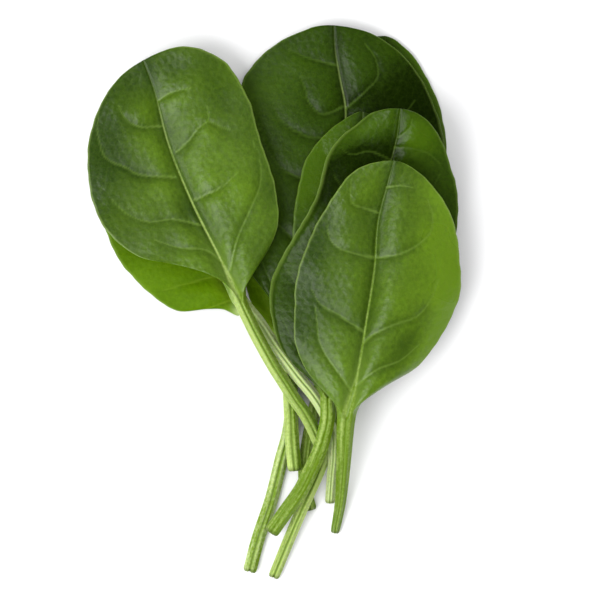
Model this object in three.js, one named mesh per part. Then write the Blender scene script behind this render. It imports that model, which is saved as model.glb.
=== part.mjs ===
// A bunch of eight fresh spinach leaves, lying on a table as picked.
//
// Lengths are millimetres, +Z is up and the table is z = 0. The stalks point along -Y
// and the blades along +Y, and the origin is on the table below the middle of the bunch.
// Each leaf is one grown piece: a grooved stalk that runs on as the rib of a thin, waved
// blade. A leaf is shaped by four rails of points, each [x, y, height]: the stalk, the rib
// and the two margins of the blade. The heights are those of the leaf's underside, so a
// leaf is lifted over another by its rails' heights alone, and where a height is below
// zero the leaf is pressed flat on the table.

import * as THREE from 'three';

// Cross-section of every leaf
const SHEET = 0.8;              // thickness of a blade away from its ribs
const THINNEST = 0.65;          // least thickness anywhere
const STALK_DEPTH_RATIO = 1.45; // depth of a stalk over half its width
const SHOULDER_DROP = 0.5;      // fall of a stalk's upper face from its middle to its sides
const GROOVE = 0.45;            // depth of the groove along a stalk's upper face
const CUT_TAPER = 0.72;         // size of a stalk's cut end over its full section
const CUT_LENGTH = 1.0;         // length over which a cut end rounds off
const RIB_TIP_HALF_WIDTH = 0.45;
const RIB_TAPER_POWER = 1.2;    // how much faster a rib thins than it narrows
const RIB_VALLEY_SHARE = 0.55;  // valley over a rib, as a share of what the rib adds

// Relief of every blade
const RIB_VALLEY_WIDTH = 3.2;   // distance from the rib over which its panels swell up
const VEIN_DEPTH = 0.55;        // sink of the blade along a side vein
const VEIN_SPREAD = 1.8;        // half width of that sink
const WAVE_HEIGHT = 0.35;       // rise and fall of the margins
const BLADE_START = 0.14;       // share of a blade over which stalk turns into blade

// Spacing of the grid that a leaf is made on
const RIB_CROWDING = 0.9;       // how much closer the columns lie beside the rib
const RIB_LAG_POWER = 1.2;      // how far a cross line's rib end stays behind its margins
const RAIL_STEPS = 40;          // measuring steps for each stretch between two rail points

// Side veins of a leaf that lists none, as [place at the rib, place at the margin], each a
// share of the blade, and the shares of the way out at which such a vein is given a point
const COMMON_VEINS = [[0.2, 0.14], [0.33, 0.31], [0.45, 0.5], [0.57, 0.7], [0.7, 0.84]];
const COMMON_VEIN_STEPS = [0, 0.25, 0.5, 0.7, 0.85];
const COMMON_VEIN_SWEEP = 1.6;  // how late such a vein turns towards the tip

const LEAVES = [
  {
    name: 'back_under_leaf',
    color: 0x3f5a20,
    columns: 5,
    stalkRows: 7,
    bladeRows: 15,
    stalkHalfWidths: [1.6, 1.6],
    arch: [0, 0],
    swell: 0,
    waves: 0,
    stalk: [
      [9.25, -52.5, 0], [8.1, -48, -0.1], [7.6, -42, -0.2], [8.5, -35, -0.2],
      [10, -27.5, -0.2], [11.75, -20.75, -0.2], [13.5, -13.25, -0.2],
    ],
    rib: [
      [17.75, 0.5, -0.2], [22.75, 18, -0.2], [26.5, 38, -0.2], [28.5, 55, 0], [28.5, 67.75, 0.3],
    ],
    left: [
      [10.5, -4, -0.4], [9.5, 6, -0.6], [9.5, 20, -0.6], [10.5, 36, -0.6],
      [13.5, 52, -0.2], [20, 64, 0.4],
    ],
    right: [
      [22, -4, -0.2], [31, 8, -0.4], [38, 22, -0.4], [41, 36, -0.2],
      [40, 48, 0.2], [36, 59.5, 0.4],
    ],
  },
  {
    name: 'buried_leaf',
    color: 0x4a6b22,
    columns: 5,
    stalkRows: 9,
    bladeRows: 11,
    stalkHalfWidths: [1.7, 1.7],
    arch: [0, 0],
    swell: 0,
    waves: 0,
    stalk: [
      [-6.25, -68, 0], [-4, -59.5, -0.2], [-0.65, -49.5, -0.2], [1.85, -39.5, -0.2],
      [3.5, -33.5, -0.2], [4.25, -28.25, -0.2], [4.25, -22.5, -0.2], [3.5, -16.5, -0.2],
      [2, -11.5, -0.2],
    ],
    rib: [[0.5, -5, -0.2], [-0.5, 4, -0.2], [-1, 14, -0.1], [-1, 26, 0]],
    left: [
      [-2, -6, -0.2], [-5, -2, -0.4], [-7.5, 6, -0.4], [-7.75, 14, -0.2],
      [-5.5, 22.5, 0],
    ],
    right: [[5, -6, -0.2], [6.5, 0, -0.4], [7, 8, -0.4], [6, 17, -0.2], [3, 24, 0]],
  },
  {
    name: 'left_under_leaf',
    color: 0x628216,
    columns: 6,
    stalkRows: 11,
    bladeRows: 20,
    stalkHalfWidths: [1.2, 1.75],
    arch: [0.4, 0],
    swell: 0.8,
    waves: 3,
    stalk: [
      [14, -50.75, 0], [14.4, -44.5, 2.2], [14.9, -38.25, 4.4], [14.6, -32.5, 5.3],
      [12, -26.75, 5.6], [9.75, -23.25, 6.1], [6.25, -19, 6.6], [3, -14.75, 6.8],
      [-0.75, -9.75, 5.4], [-4, -5, 4], [-6.75, -1.75, 2.6],
    ],
    rib: [
      [-12.25, 5, 1.6], [-19.75, 15.5, 0.3], [-27.25, 28, -0.1], [-31.75, 40.5, -0.1],
      [-34, 49.25, 0],
    ],
    left: [
      [-9, -3.5, 3.2], [-12.75, -1.9, 3], [-16.75, -1.8, 2.6], [-24.5, -2.2, 1.8],
      [-30.75, 1.75, 1], [-38.5, 9.75, 0.2], [-42.25, 17.5, -0.2], [-44.25, 25.5, -0.4],
      [-44, 34.25, -0.4], [-40.5, 44.25, -0.2],
    ],
    right: [
      [-8.5, 4.25, 2.5], [-9.5, 10, 1.5], [-10.5, 18, 0.5],
      [-14, 30.5, 0.2], [-19.75, 42.25, 0.2], [-28, 48.75, 0.1],
    ],
  },
  {
    name: 'back_leaf',
    color: 0x36501b,
    columns: 8,
    stalkRows: 6,
    bladeRows: 26,
    stalkHalfWidths: [1.8, 1.8],
    arch: [0.2, 1],
    swell: 0.9,
    waves: 5,
    veins: [
      [[4.5, -4], [0.5, 2.5], [-3, 10], [-5, 18]],
      [[9.5, 11], [3.5, 17], [-2, 23], [-5.5, 31]],
      [[15.5, 30.5], [9, 30.5], [2.75, 33], [-1.5, 38], [-4, 45]],
      [[17.5, 40.5], [11.5, 41], [5.25, 43], [1, 46.75], [-0.5, 51]],
      [[17.75, 49.25], [12, 47.25], [8.5, 50.5], [7.75, 53.75], [6.5, 56.75]],
      [[15.75, 59.5], [13.5, 60], [8, 61.5], [3.5, 63.5]],
      [[7.5, 5], [15, 8], [23, 12.5], [30, 20]],
      [[14, 24], [22, 26.5], [30, 30.5], [36, 37]],
      [[17.25, 38], [25.25, 41.75], [31.5, 45.5], [35.25, 50.5]],
      [[18, 48.5], [23.5, 53.5], [26, 56.5], [25.5, 61], [22.75, 65]],
    ],
    stalk: [
      [5.25, -42.5, 2.3], [4.6, -35.75, 3.4], [4.25, -28.25, 3.4], [4, -22.5, 3.4],
      [3.75, -15.75, 3.3], [3.5, -8.25, 3.3],
    ],
    rib: [
      [6.5, 3, 2.8], [12, 18, 2.2], [16, 33, 2], [18, 47.5, 2], [16.5, 56.5, 2.2],
      [15.4, 63, 2.8], [15, 69.5, 3.8],
    ],
    left: [
      [-1.25, 1.25, 3.4], [-6, 7.5, 3], [-9, 16.75, 2.8], [-10.5, 28, 2.6],
      [-10.5, 40.5, 2.6], [-8, 55.5, 2.8], [-6, 58.75, 2.9], [-2.25, 62.75, 3], [2, 65.75, 3.2],
      [6.25, 67.75, 3.5], [10.5, 69.25, 3.6],
    ],
    right: [
      [15.25, -0.75, 3.4], [27.75, 6.75, 3], [37.75, 15.5, 2.8],
      [42.75, 25.5, 2.6], [44, 39.25, 2.4], [41.5, 50, 2.4], [38, 57.75, 2.4], [33.5, 63, 2.6],
      [28.5, 66, 2.8], [23.5, 68.25, 3.2],
    ],
  },
  {
    name: 'right_inner_leaf',
    color: 0x34501a,
    columns: 6,
    stalkRows: 9,
    bladeRows: 18,
    stalkHalfWidths: [1.4, 1.7],
    arch: [0, 0.3],
    swell: 0.3,
    waves: 2,
    stalk: [
      [-0.25, -69.5, 0], [4.25, -58.5, 1.8], [7.75, -50.25, 3.3], [11, -43, 2.5],
      [14.25, -34.5, 0.3], [16, -28.25, 0.9], [17, -21.5, 2.4],
    ],
    rib: [[19, -9.5, 4.9], [20.75, 3, 6.3], [21.75, 18, 6.8], [21.75, 33, 6.6], [22.25, 47.6, 7.5]],
    left: [
      [15.25, -20.75, 3], [12, -13.25, 5.4], [7.75, -3.25, 7.2], [5.25, 6.75, 7], [4.6, 17, 6.8],
      [5.65, 26.5, 6.5], [7.9, 35.5, 6.5], [13.25, 42.5, 7], [20, 47.1, 7.5],
    ],
    right: [
      [25.25, -10.75, 4.8], [32.75, 3, 5.2], [36, 18, 6],
      [34.5, 31.75, 6.6], [29.5, 43, 7.2],
    ],
  },
  {
    name: 'left_top_leaf',
    color: 0x53732a,
    columns: 8,
    stalkRows: 10,
    bladeRows: 26,
    stalkHalfWidths: [1.65, 1.65],
    arch: [0.3, 0.6],
    swell: 1.1,
    waves: 5,
    veins: [
      [[-13, 10], [-17.25, 13], [-23.5, 13.5], [-29.75, 15.5]],
      [[-18.5, 19.25], [-26, 20.75], [-31, 20], [-36.75, 22], [-40.5, 25.5]],
      [
        [-24.75, 31.25], [-34.25, 32], [-36.75, 33.5], [-40.5, 35], [-42.5, 36.5], [-43.5, 39.25],
        [-44.25, 43.5], [-43.75, 47.5],
      ],
      [[-28.25, 44], [-34.25, 44], [-37.25, 46], [-39, 49.25]],
      [[-11, 8], [-9.25, 15.5], [-6, 23], [-3.5, 29.25], [-3.5, 35.5], [-5.5, 40.5]],
      [[-20, 25.5], [-17.75, 26.5], [-13.5, 28.5], [-9, 32.5]],
      [[-24.5, 37.5], [-21.25, 40.5], [-18.75, 43.75], [-16.5, 45.25], [-16.75, 48.75]],
      [[-16.5, 45.25], [-13, 43.75], [-10.25, 42.75]],
      [[-29, 50.5], [-25.5, 52.5], [-21, 53.5]],
    ],
    stalk: [
      [11.5, -35.75, 4.3], [9.5, -31.25, 5.1], [7.4, -27.5, 6.1], [5.25, -24.5, 7],
      [2.75, -20.5, 7.8], [-0.4, -15.5, 8.5], [-4, -9, 8.7], [-6, -5, 8.6], [-8.25, -0.25, 8.4],
    ],
    rib: [[-13, 10, 7.5], [-21, 26, 6.6], [-26.5, 39.75, 6.2], [-30, 53, 6.6], [-32.75, 60.5, 8]],
    left: [
      [-10.5, 0, 9], [-14.5, 7.5, 9], [-19.5, 10.25, 8.8], [-28, 10, 9.2], [-35.5, 12.25, 9],
      [-43, 19.5, 8.8], [-46.5, 31, 8.6], [-45.5, 44, 8.6], [-40, 54.75, 8.4],
    ],
    right: [
      [-6.5, 6.5, 9.8], [-2.5, 11.25, 10], [1, 19.5, 9.8], [0.25, 29, 9.4],
      [-3.5, 41, 9], [-6.5, 51, 8.6], [-12.5, 60.25, 8.2], [-22.5, 64, 8.2],
    ],
  },
  {
    name: 'right_folded_leaf',
    color: 0x35501a,
    columns: 8,
    stalkRows: 9,
    bladeRows: 26,
    stalkHalfWidths: [1.9, 1.9],
    arch: [0.2, 0.5],
    swell: 0.9,
    waves: 4,
    veins: [
      [[14.5, -19], [9.5, -15], [5, -10], [2, -4]],
      [[17, -8], [11.5, -3], [6.5, 3], [3.5, 8]],
      [[21, 7.5], [15, 11], [10.5, 16.5]],
      [[25.5, 23.5], [19, 26], [15, 31.5]],
      [[29, 35.5], [24, 37.5], [19, 36.75], [16.5, 38.5]],
      [[15, -16], [22, -9], [31, -2], [38, 6]],
      [[18.5, -2], [27, 4], [35, 10.5], [41, 20]],
      [[23.5, 15.5], [31, 19.5], [37.5, 25], [41.5, 32]],
      [[28, 31], [34, 33.5], [38.5, 37.5]],
      [[30.25, 39], [33.5, 40.5], [36.5, 43.5]],
    ],
    stalk: [
      [-0.9, -58, 3.6], [2.75, -52.75, 5.4], [6.75, -47, 6.6], [9.25, -42, 7.2],
      [11.25, -37.5, 7.6], [12.5, -33.5, 8.6], [13.4, -29, 9.2], [13.5, -24, 9.6],
    ],
    rib: [
      [15, -15.75, 9.8], [18.5, -2, 9.6], [22.75, 13, 9.4], [27, 28, 10.6], [30.25, 39.25, 13],
      [31.5, 48.1, 16],
    ],
    left: [
      [10.25, -21, 10.3], [8.25, -18.5, 10.2], [5.5, -16.25, 10.2],
      [1.75, -11.5, 10.2], [-0.25, -5.75, 9.8], [-1.1, 0.75, 9.4], [-0.25, 6.75, 9.4],
      [2.25, 11.75, 10], [6.5, 19, 11.5], [9.25, 23.75, 13], [11.5, 29.75, 14.5], [12.5, 34, 15],
      [14, 37.75, 15.2], [16.5, 41, 15.2], [20, 43.75, 15.2], [24.5, 47.1, 15.5],
    ],
    right: [
      [17.75, -17.5, 10.2], [26.5, -9.5, 8.6], [37.75, 0.5, 7.2],
      [43.5, 10, 6.6], [45.8, 19, 7], [46, 27, 8.2], [44.3, 33.25, 10.5], [41.5, 40.75, 13],
      [37.5, 45.8, 15.2],
    ],
  },
  {
    name: 'right_top_leaf',
    color: 0x5c763a,
    columns: 8,
    stalkRows: 8,
    bladeRows: 26,
    stalkHalfWidths: [1.1, 2.3],
    arch: [0.5, 2],
    swell: 1.1,
    waves: 4,
    veins: [
      [[19, -22], [16.5, -18.25], [13.25, -13.75], [11.25, -9.5], [10.75, -5], [10.25, -0.75]],
      [[22, -7.25], [16.5, -3.5], [11.5, -0.5], [9.5, 3]],
      [[25, 11], [19.5, 12.25], [16.5, 13.25], [14, 15.5], [13.25, 19]],
      [[25.75, 22.25], [22.75, 23.25], [19.5, 24.5], [19, 26.75], [19.25, 30.5]],
      [[20.25, -21.25], [25.25, -17], [31.5, -14.5], [36, -10.75]],
      [[22.5, -10], [24.5, -8.25], [29.5, -5.75], [35.75, -3.5], [39, 0.5], [41, 5.5]],
      [[25.75, 11], [31.5, 12], [36.5, 14.75], [39, 17.5], [39.5, 21.75], [38.25, 25.5]],
      [[28, 28.5], [32.75, 28.5], [36.5, 27]],
    ],
    stalk: [
      [15.25, -58.25, 0.3], [16.6, -50.75, 2], [17.15, -44.5, 4.2], [17.5, -38.25, 6.6],
      [17.75, -33, 8.7], [18, -29.5, 10.1],
    ],
    rib: [
      [18.5, -27, 11.1], [19.6, -23, 12.1], [20.9, -17.5, 12.8], [23, -5, 13.4],
      [25, 8, 13.9], [25.9, 20, 14.4], [28.3, 29.5, 16.2], [29.75, 35.1, 18.8],
    ],
    left: [
      [15.6, -27, 12.2], [14.25, -24, 13.3], [11, -20.75, 13.3], [7.5, -16, 13.6],
      [5.3, -10.2, 14.2], [5.1, -0.75, 14.8], [5.5, 5.5, 15.2], [9.5, 17.25, 16.4],
      [12, 21.75, 17.2], [14.9, 26.5, 17.8], [19.25, 32, 18.4], [23.75, 34.25, 18.8],
    ],
    right: [
      [20.9, -27, 12.4], [23.2, -23.5, 13], [26.5, -21.3, 12.6], [30, -19.65, 11.8],
      [35.25, -16.65, 10.8], [39.5, -11.9, 9.4], [43.8, -5, 8.4], [46.4, 1.5, 8.4],
      [46.6, 8.75, 9.2], [45.1, 19.1, 11.2], [42.1, 25.5, 13], [37.75, 30.75, 15.6],
      [33, 34.1, 18],
    ],
  },
];

const { clamp, lerp, smoothstep } = THREE.MathUtils;

/** A smooth curve through points of a leaf, measured apart below and above the blade's base. */
class Rail {
  constructor(points, basePoint) {
    const vectors = points.map((point) => new THREE.Vector3(...point));
    const steps = RAIL_STEPS * (points.length - 1);
    this.curve = new THREE.CatmullRomCurve3(vectors, false, 'centripetal');
    this.curve.arcLengthDivisions = steps;
    const lengths = this.curve.getLengths(steps);
    this.length = lengths[steps];
    this.baseShare = lengths[basePoint * RAIL_STEPS] / this.length;
  }

  /** Point of the blade, from 0 at its base to 1 at its tip. */
  bladePoint(share) {
    return this.curve.getPointAt(lerp(this.baseShare, 1, share));
  }
}

/** Unit vector across a direction, level and to its right. */
function acrossRight(direction) {
  return new THREE.Vector3(direction.y, -direction.x, 0).normalize();
}

/** How far along the rib a cross line starts whose margin ends are at a share of the margins. */
function ribPlace(place) {
  return ((1 - Math.cos(Math.PI * place)) / 2) ** RIB_LAG_POWER;
}

/** The side veins of a leaf that lists none, each a line of plan points from the rib outwards. */
function commonVeins(middle, margins) {
  const vein = (margin, atRib, atMargin) => COMMON_VEIN_STEPS.map((out) => {
    const place = lerp(atRib, atMargin, out ** COMMON_VEIN_SWEEP);
    const point = middle.bladePoint(ribPlace(place)).lerp(margin.bladePoint(place), out);
    return [point.x, point.y];
  });
  return margins.flatMap((margin) => COMMON_VEINS.map((places) => vein(margin, ...places)));
}

/** The rails of a leaf: its middle line and both margins, which start along the stalk's sides. */
function leafRails(leaf) {
  const base = leaf.stalk.length - 1;
  const middle = new Rail([...leaf.stalk, ...leaf.rib], base);
  const lastPoint = leaf.stalk.length + leaf.rib.length - 1;
  const halfWidth = leaf.stalkHalfWidths[1];
  const sideHeight = STALK_DEPTH_RATIO * halfWidth - SHOULDER_DROP - SHEET;
  const stalkSide = (point, side) => {
    const across = acrossRight(middle.curve.getTangent(point / lastPoint));
    const [x, y, height] = leaf.stalk[point];
    return [x + side * halfWidth * across.x, y + side * halfWidth * across.y, height + sideHeight];
  };
  const tip = leaf.rib[leaf.rib.length - 1];
  const margin = (points, side) =>
    new Rail([stalkSide(base - 1, side), stalkSide(base, side), ...points, tip], 1);
  const left = margin(leaf.left, -1);
  const right = margin(leaf.right, 1);
  const veins = leaf.veins ?? commonVeins(middle, [left, right]);
  return { middle, left, right, veins };
}

/** A cross line of the stalk: where its upper face's middle and sides are, and its section. */
function stalkRow(leaf, rails, distance) {
  const { curve, length, baseShare } = rails.middle;
  const share = distance / length;
  const rounding = lerp(CUT_TAPER, 1, Math.min(1, distance / CUT_LENGTH));
  const fullHalfWidth = lerp(...leaf.stalkHalfWidths, share / baseShare);
  const halfWidth = rounding * fullHalfWidth;
  const depth = STALK_DEPTH_RATIO * halfWidth;
  const middle = curve.getPointAt(share);
  middle.z += (STALK_DEPTH_RATIO * fullHalfWidth + depth) / 2;
  const across = acrossRight(curve.getTangentAt(share)).multiplyScalar(halfWidth);
  const left = middle.clone().sub(across);
  const right = middle.clone().add(across);
  left.z -= SHOULDER_DROP;
  right.z -= SHOULDER_DROP;
  return { middle, left, right, halfWidth, depth, place: 0 };
}

/** A cross line of the blade, at a share of its margins' length. */
function bladeRow(leaf, rails, place) {
  const ribShare = ribPlace(place);
  const baseHalfWidth = leaf.stalkHalfWidths[1];
  const halfWidth = lerp(baseHalfWidth, RIB_TIP_HALF_WIDTH, ribShare);
  const taper = (halfWidth / baseHalfWidth) ** RIB_TAPER_POWER;
  const depth = SHEET + (STALK_DEPTH_RATIO * baseHalfWidth - SHEET) * taper;
  const middle = rails.middle.bladePoint(ribShare);
  const left = rails.left.bladePoint(place);
  const right = rails.right.bladePoint(place);
  middle.z += depth;
  left.z += SHEET;
  right.z += SHEET;
  return { middle, left, right, halfWidth, depth, place };
}

/** Distance in plan from a point to the nearest of some lines of points. */
function distanceToLines(x, y, lines) {
  let nearest = Infinity;
  for (const line of lines) {
    for (let i = 1; i < line.length; i++) {
      const [fromX, fromY] = line[i - 1];
      const alongX = line[i][0] - fromX;
      const alongY = line[i][1] - fromY;
      const along = (x - fromX) * alongX + (y - fromY) * alongY;
      const share = clamp(along / (alongX ** 2 + alongY ** 2), 0, 1);
      const distance = Math.hypot(x - fromX - share * alongX, y - fromY - share * alongY);
      nearest = Math.min(nearest, distance);
    }
  }
  return nearest;
}

/** Swell of the panels beside the rib, sink along the side veins and wave of the margins. */
function bladeRelief(leaf, rails, place, out, reach, point) {
  const body = smoothstep(place, 0.02, 0.2) * (1 - smoothstep(place, 0.8, 1));
  const beside = 1 - Math.exp(-((out * reach / RIB_VALLEY_WIDTH) ** 2));
  const panel = leaf.swell * body * beside * (1 - out * out);
  const offVein = distanceToLines(point.x, point.y, rails.veins) / VEIN_SPREAD;
  const sink = VEIN_DEPTH * beside * (1 - 0.7 * out) * Math.exp(-offVein * offVein);
  const turn = 2 * Math.PI * leaf.waves * place;
  const wave = WAVE_HEIGHT * Math.sin(turn) * out ** 3 * Math.sin(Math.PI * place);
  return panel + wave - sink * smoothstep(place, 0, BLADE_START);
}

/** Upper and lower point of one column of a cross line. Columns run from the left to the right. */
function columnPoints(leaf, rails, row, column) {
  const side = column < 0 ? 0 : 1;
  const margin = side === 0 ? row.left : row.right;
  const reach = Math.hypot(margin.x - row.middle.x, margin.y - row.middle.y);
  const crowding = 1 + RIB_CROWDING * (1 - Math.min(1, row.halfWidth / reach));
  const out = (Math.abs(column) / leaf.columns) ** crowding;
  const inRib = (out * reach) / row.halfWidth;
  const blade = smoothstep(row.place, 0, BLADE_START);

  const point = new THREE.Vector3().lerpVectors(row.middle, margin, out);
  const bow = 4 * out * (1 - out);
  const surface = lerp(row.middle.z, margin.z, out ** lerp(2, 1, blade))
    + bow * leaf.arch[side] * Math.sin(Math.PI * row.place);
  const relief = bladeRelief(leaf, rails, row.place, out, reach, point);
  const ribAdds = row.depth - SHEET;
  const valley = blade * RIB_VALLEY_SHARE * Math.min(1, ribAdds) * Math.exp(-((inRib / 0.6) ** 2));
  const thickness = SHEET + ribAdds * Math.sqrt(Math.max(0, 1 - inRib * inRib));

  const low = Math.max(0, surface + relief - thickness);
  const high = surface + relief + (1 - blade) * GROOVE * bow - valley;
  return {
    upper: [point.x, point.y, Math.max(high, low + THINNEST)],
    lower: [point.x, point.y, low],
  };
}

/** All cross lines of a leaf, from the stalk's cut end to just before the tip. */
function leafRows(leaf, rails) {
  const stalkLength = rails.middle.length * rails.middle.baseShare;
  const rows = [stalkRow(leaf, rails, 0)];
  for (let i = 0; i < leaf.stalkRows; i++) {
    rows.push(stalkRow(leaf, rails, lerp(CUT_LENGTH, stalkLength, i / leaf.stalkRows)));
  }
  for (let i = 0; i < leaf.bladeRows; i++) {
    rows.push(bladeRow(leaf, rails, i / leaf.bladeRows));
  }
  return rows;
}

/** The closed solid of a leaf: the same grid above and below, with a wall all round. */
function leafGeometry(leaf) {
  const positions = [];
  const faces = [];
  const width = 2 * leaf.columns + 1;
  const rails = leafRails(leaf);
  const rows = leafRows(leaf, rails);
  for (const row of rows) {
    for (let column = -leaf.columns; column <= leaf.columns; column++) {
      const { upper, lower } = columnPoints(leaf, rails, row, column);
      positions.push(...upper, ...lower);
    }
  }
  const [tipX, tipY, tipHeight] = leaf.rib[leaf.rib.length - 1];
  positions.push(tipX, tipY, tipHeight + SHEET, tipX, tipY, tipHeight);

  const upper = (row, column) => 2 * (row * width + column);
  const lower = (row, column) => upper(row, column) + 1;
  const quad = (a, b, c, d) => faces.push(a, b, c, a, c, d);
  const lastRow = rows.length - 1;
  const lastColumn = width - 1;
  const upperTip = 2 * rows.length * width;
  const lowerTip = upperTip + 1;

  for (let row = 0; row < lastRow; row++) {
    for (let column = 0; column < lastColumn; column++) {
      const next = column + 1;
      quad(upper(row, column), upper(row, next), upper(row + 1, next), upper(row + 1, column));
      faces.push(lower(row, column), lower(row + 1, next), lower(row, next));
      faces.push(lower(row, column), lower(row + 1, column), lower(row + 1, next));
    }
    quad(lower(row, 0), upper(row, 0), upper(row + 1, 0), lower(row + 1, 0));
    quad(
      upper(row, lastColumn), lower(row, lastColumn),
      lower(row + 1, lastColumn), upper(row + 1, lastColumn),
    );
  }
  for (let column = 0; column < lastColumn; column++) {
    const next = column + 1;
    quad(lower(0, column), lower(0, next), upper(0, next), upper(0, column));
    faces.push(upper(lastRow, column), upper(lastRow, next), upperTip);
    faces.push(lower(lastRow, next), lower(lastRow, column), lowerTip);
  }
  quad(lower(lastRow, 0), upper(lastRow, 0), upperTip, lowerTip);
  quad(upper(lastRow, lastColumn), lower(lastRow, lastColumn), lowerTip, upperTip);

  const geometry = new THREE.BufferGeometry();
  geometry.setAttribute('position', new THREE.Float32BufferAttribute(positions, 3));
  geometry.setIndex(faces);
  geometry.computeVertexNormals();
  return geometry;
}

const bunch = new THREE.Group();
for (const leaf of LEAVES) {
  const material = new THREE.MeshStandardMaterial({
    color: leaf.color,
    roughness: 0.55,
    metalness: 0,
  });
  const mesh = new THREE.Mesh(leafGeometry(leaf), material);
  mesh.name = leaf.name;
  bunch.add(mesh);
}

export default bunch;
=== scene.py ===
"""Looks of a bunch of eight fresh spinach leaves lying on a pale table.

The shapes are worked out in millimetres, in the frame's own axes: +Z is up, the table is z = 0
and the blades point along +Y. They are turned to metres where a mesh is made. Each leaf is one
closed skin over the rails of its solid in the frame: the stalk, the rib and both margins.
"""

import logging
import math
from dataclasses import dataclass, field
from enum import Enum
from typing import Any

import bpy
import numpy as np
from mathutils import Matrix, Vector
from mathutils.kdtree import KDTree

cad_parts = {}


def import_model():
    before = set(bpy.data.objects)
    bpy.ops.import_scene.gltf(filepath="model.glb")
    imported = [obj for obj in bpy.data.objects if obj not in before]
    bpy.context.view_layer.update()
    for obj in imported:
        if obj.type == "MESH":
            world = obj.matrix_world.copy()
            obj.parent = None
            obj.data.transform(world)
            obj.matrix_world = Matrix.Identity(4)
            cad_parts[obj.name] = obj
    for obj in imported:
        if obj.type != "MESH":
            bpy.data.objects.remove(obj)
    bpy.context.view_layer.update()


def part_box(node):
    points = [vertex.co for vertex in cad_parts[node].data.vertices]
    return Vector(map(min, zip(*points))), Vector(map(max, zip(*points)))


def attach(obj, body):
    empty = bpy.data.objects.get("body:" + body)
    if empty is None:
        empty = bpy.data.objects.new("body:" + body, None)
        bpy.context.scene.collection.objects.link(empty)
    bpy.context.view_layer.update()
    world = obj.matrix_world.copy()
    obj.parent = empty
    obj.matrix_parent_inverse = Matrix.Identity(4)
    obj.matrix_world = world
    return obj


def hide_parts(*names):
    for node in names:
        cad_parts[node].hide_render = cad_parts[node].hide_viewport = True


LOG = logging.getLogger("spinach_bunch")
MM = 0.001
# Millimetres, more than the bunch is long.
FAR = 1e3
# The thickest painted wax. An even coat is 1.
MOST_WAX = 2.0

Points = list[tuple[float, ...]]
Pair = tuple[float, float]
Ramp = tuple[float, float]
Socket = bpy.types.NodeSocket


class Side(Enum):
    """The two halves of a blade, seen from above with the tip pointing away."""

    LEFT = -1
    RIGHT = 1


class Green(Enum):
    """The three greens of the bunch. The deep green is partly painted shade, for the leaves lower
    in the pile, and the bright green is partly painted light that comes through the blade from the
    white table. Each value is a material slot of the record.
    """

    MID = "leaf_mid_green"
    DEEP = "leaf_deep_green"
    BRIGHT = "leaf_bright_green"


class Draw(Enum):
    """What a leaf draws by chance. Each value is added to the leaf's own seed."""

    CELLS = 1
    HILLS = 2
    OUTLINE = 7


def smoothstep(value: np.ndarray, start: float, end: float) -> np.ndarray:
    """Eases from 0 at start to 1 at end.

    Args:
        value: Numbers to ease.
        start: Where the result leaves 0.
        end: Where the result reaches 1.

    Returns:
        The eased numbers, of the same shape as value.
    """
    share = np.clip((value - start) / (end - start), 0, 1)
    return share * share * (3 - 2 * share)


def lerp(start: Any, end: Any, share: Any) -> Any:
    """Returns the value at a share of the way from start to end."""
    return start + (end - start) * share


def bell(value: np.ndarray, width: float) -> np.ndarray:
    """Returns 1 where the value is 0, falling smoothly to 0 at about twice the width."""
    return np.exp(-((value / width) ** 2))


def to_segment(plan: np.ndarray, start: np.ndarray,
               end: np.ndarray) -> tuple[np.ndarray, np.ndarray]:
    """Finds how far some points are from a straight piece of line.

    Args:
        plan: Points in plan, in an array of any shape.
        start: Where the piece starts.
        end: Where it ends.

    Returns:
        The distance of each point, and the share of the way along at which it lies nearest.
    """
    along = end - start
    share = np.clip((plan - start) @ along / (along @ along), 0, 1)
    return np.linalg.norm(plan - start - share[..., None] * along, axis=-1), share


def linear_color(hex_code: str) -> tuple[float, float, float, float]:
    """Turns an sRGB hex value to a linear colour with full alpha.

    Args:
        hex_code: Six hex digits after a hash sign.

    Returns:
        Red, green, blue and alpha, each from 0 to 1.
    """
    channels = [int(hex_code[i:i + 2], 16) / 255 for i in (1, 3, 5)]
    low, curve = 12.92, 2.4
    parts = [c / low if c <= 0.04045 else ((c + 0.055) / 1.055) ** curve for c in channels]
    return (*parts, 1.0)


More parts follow.
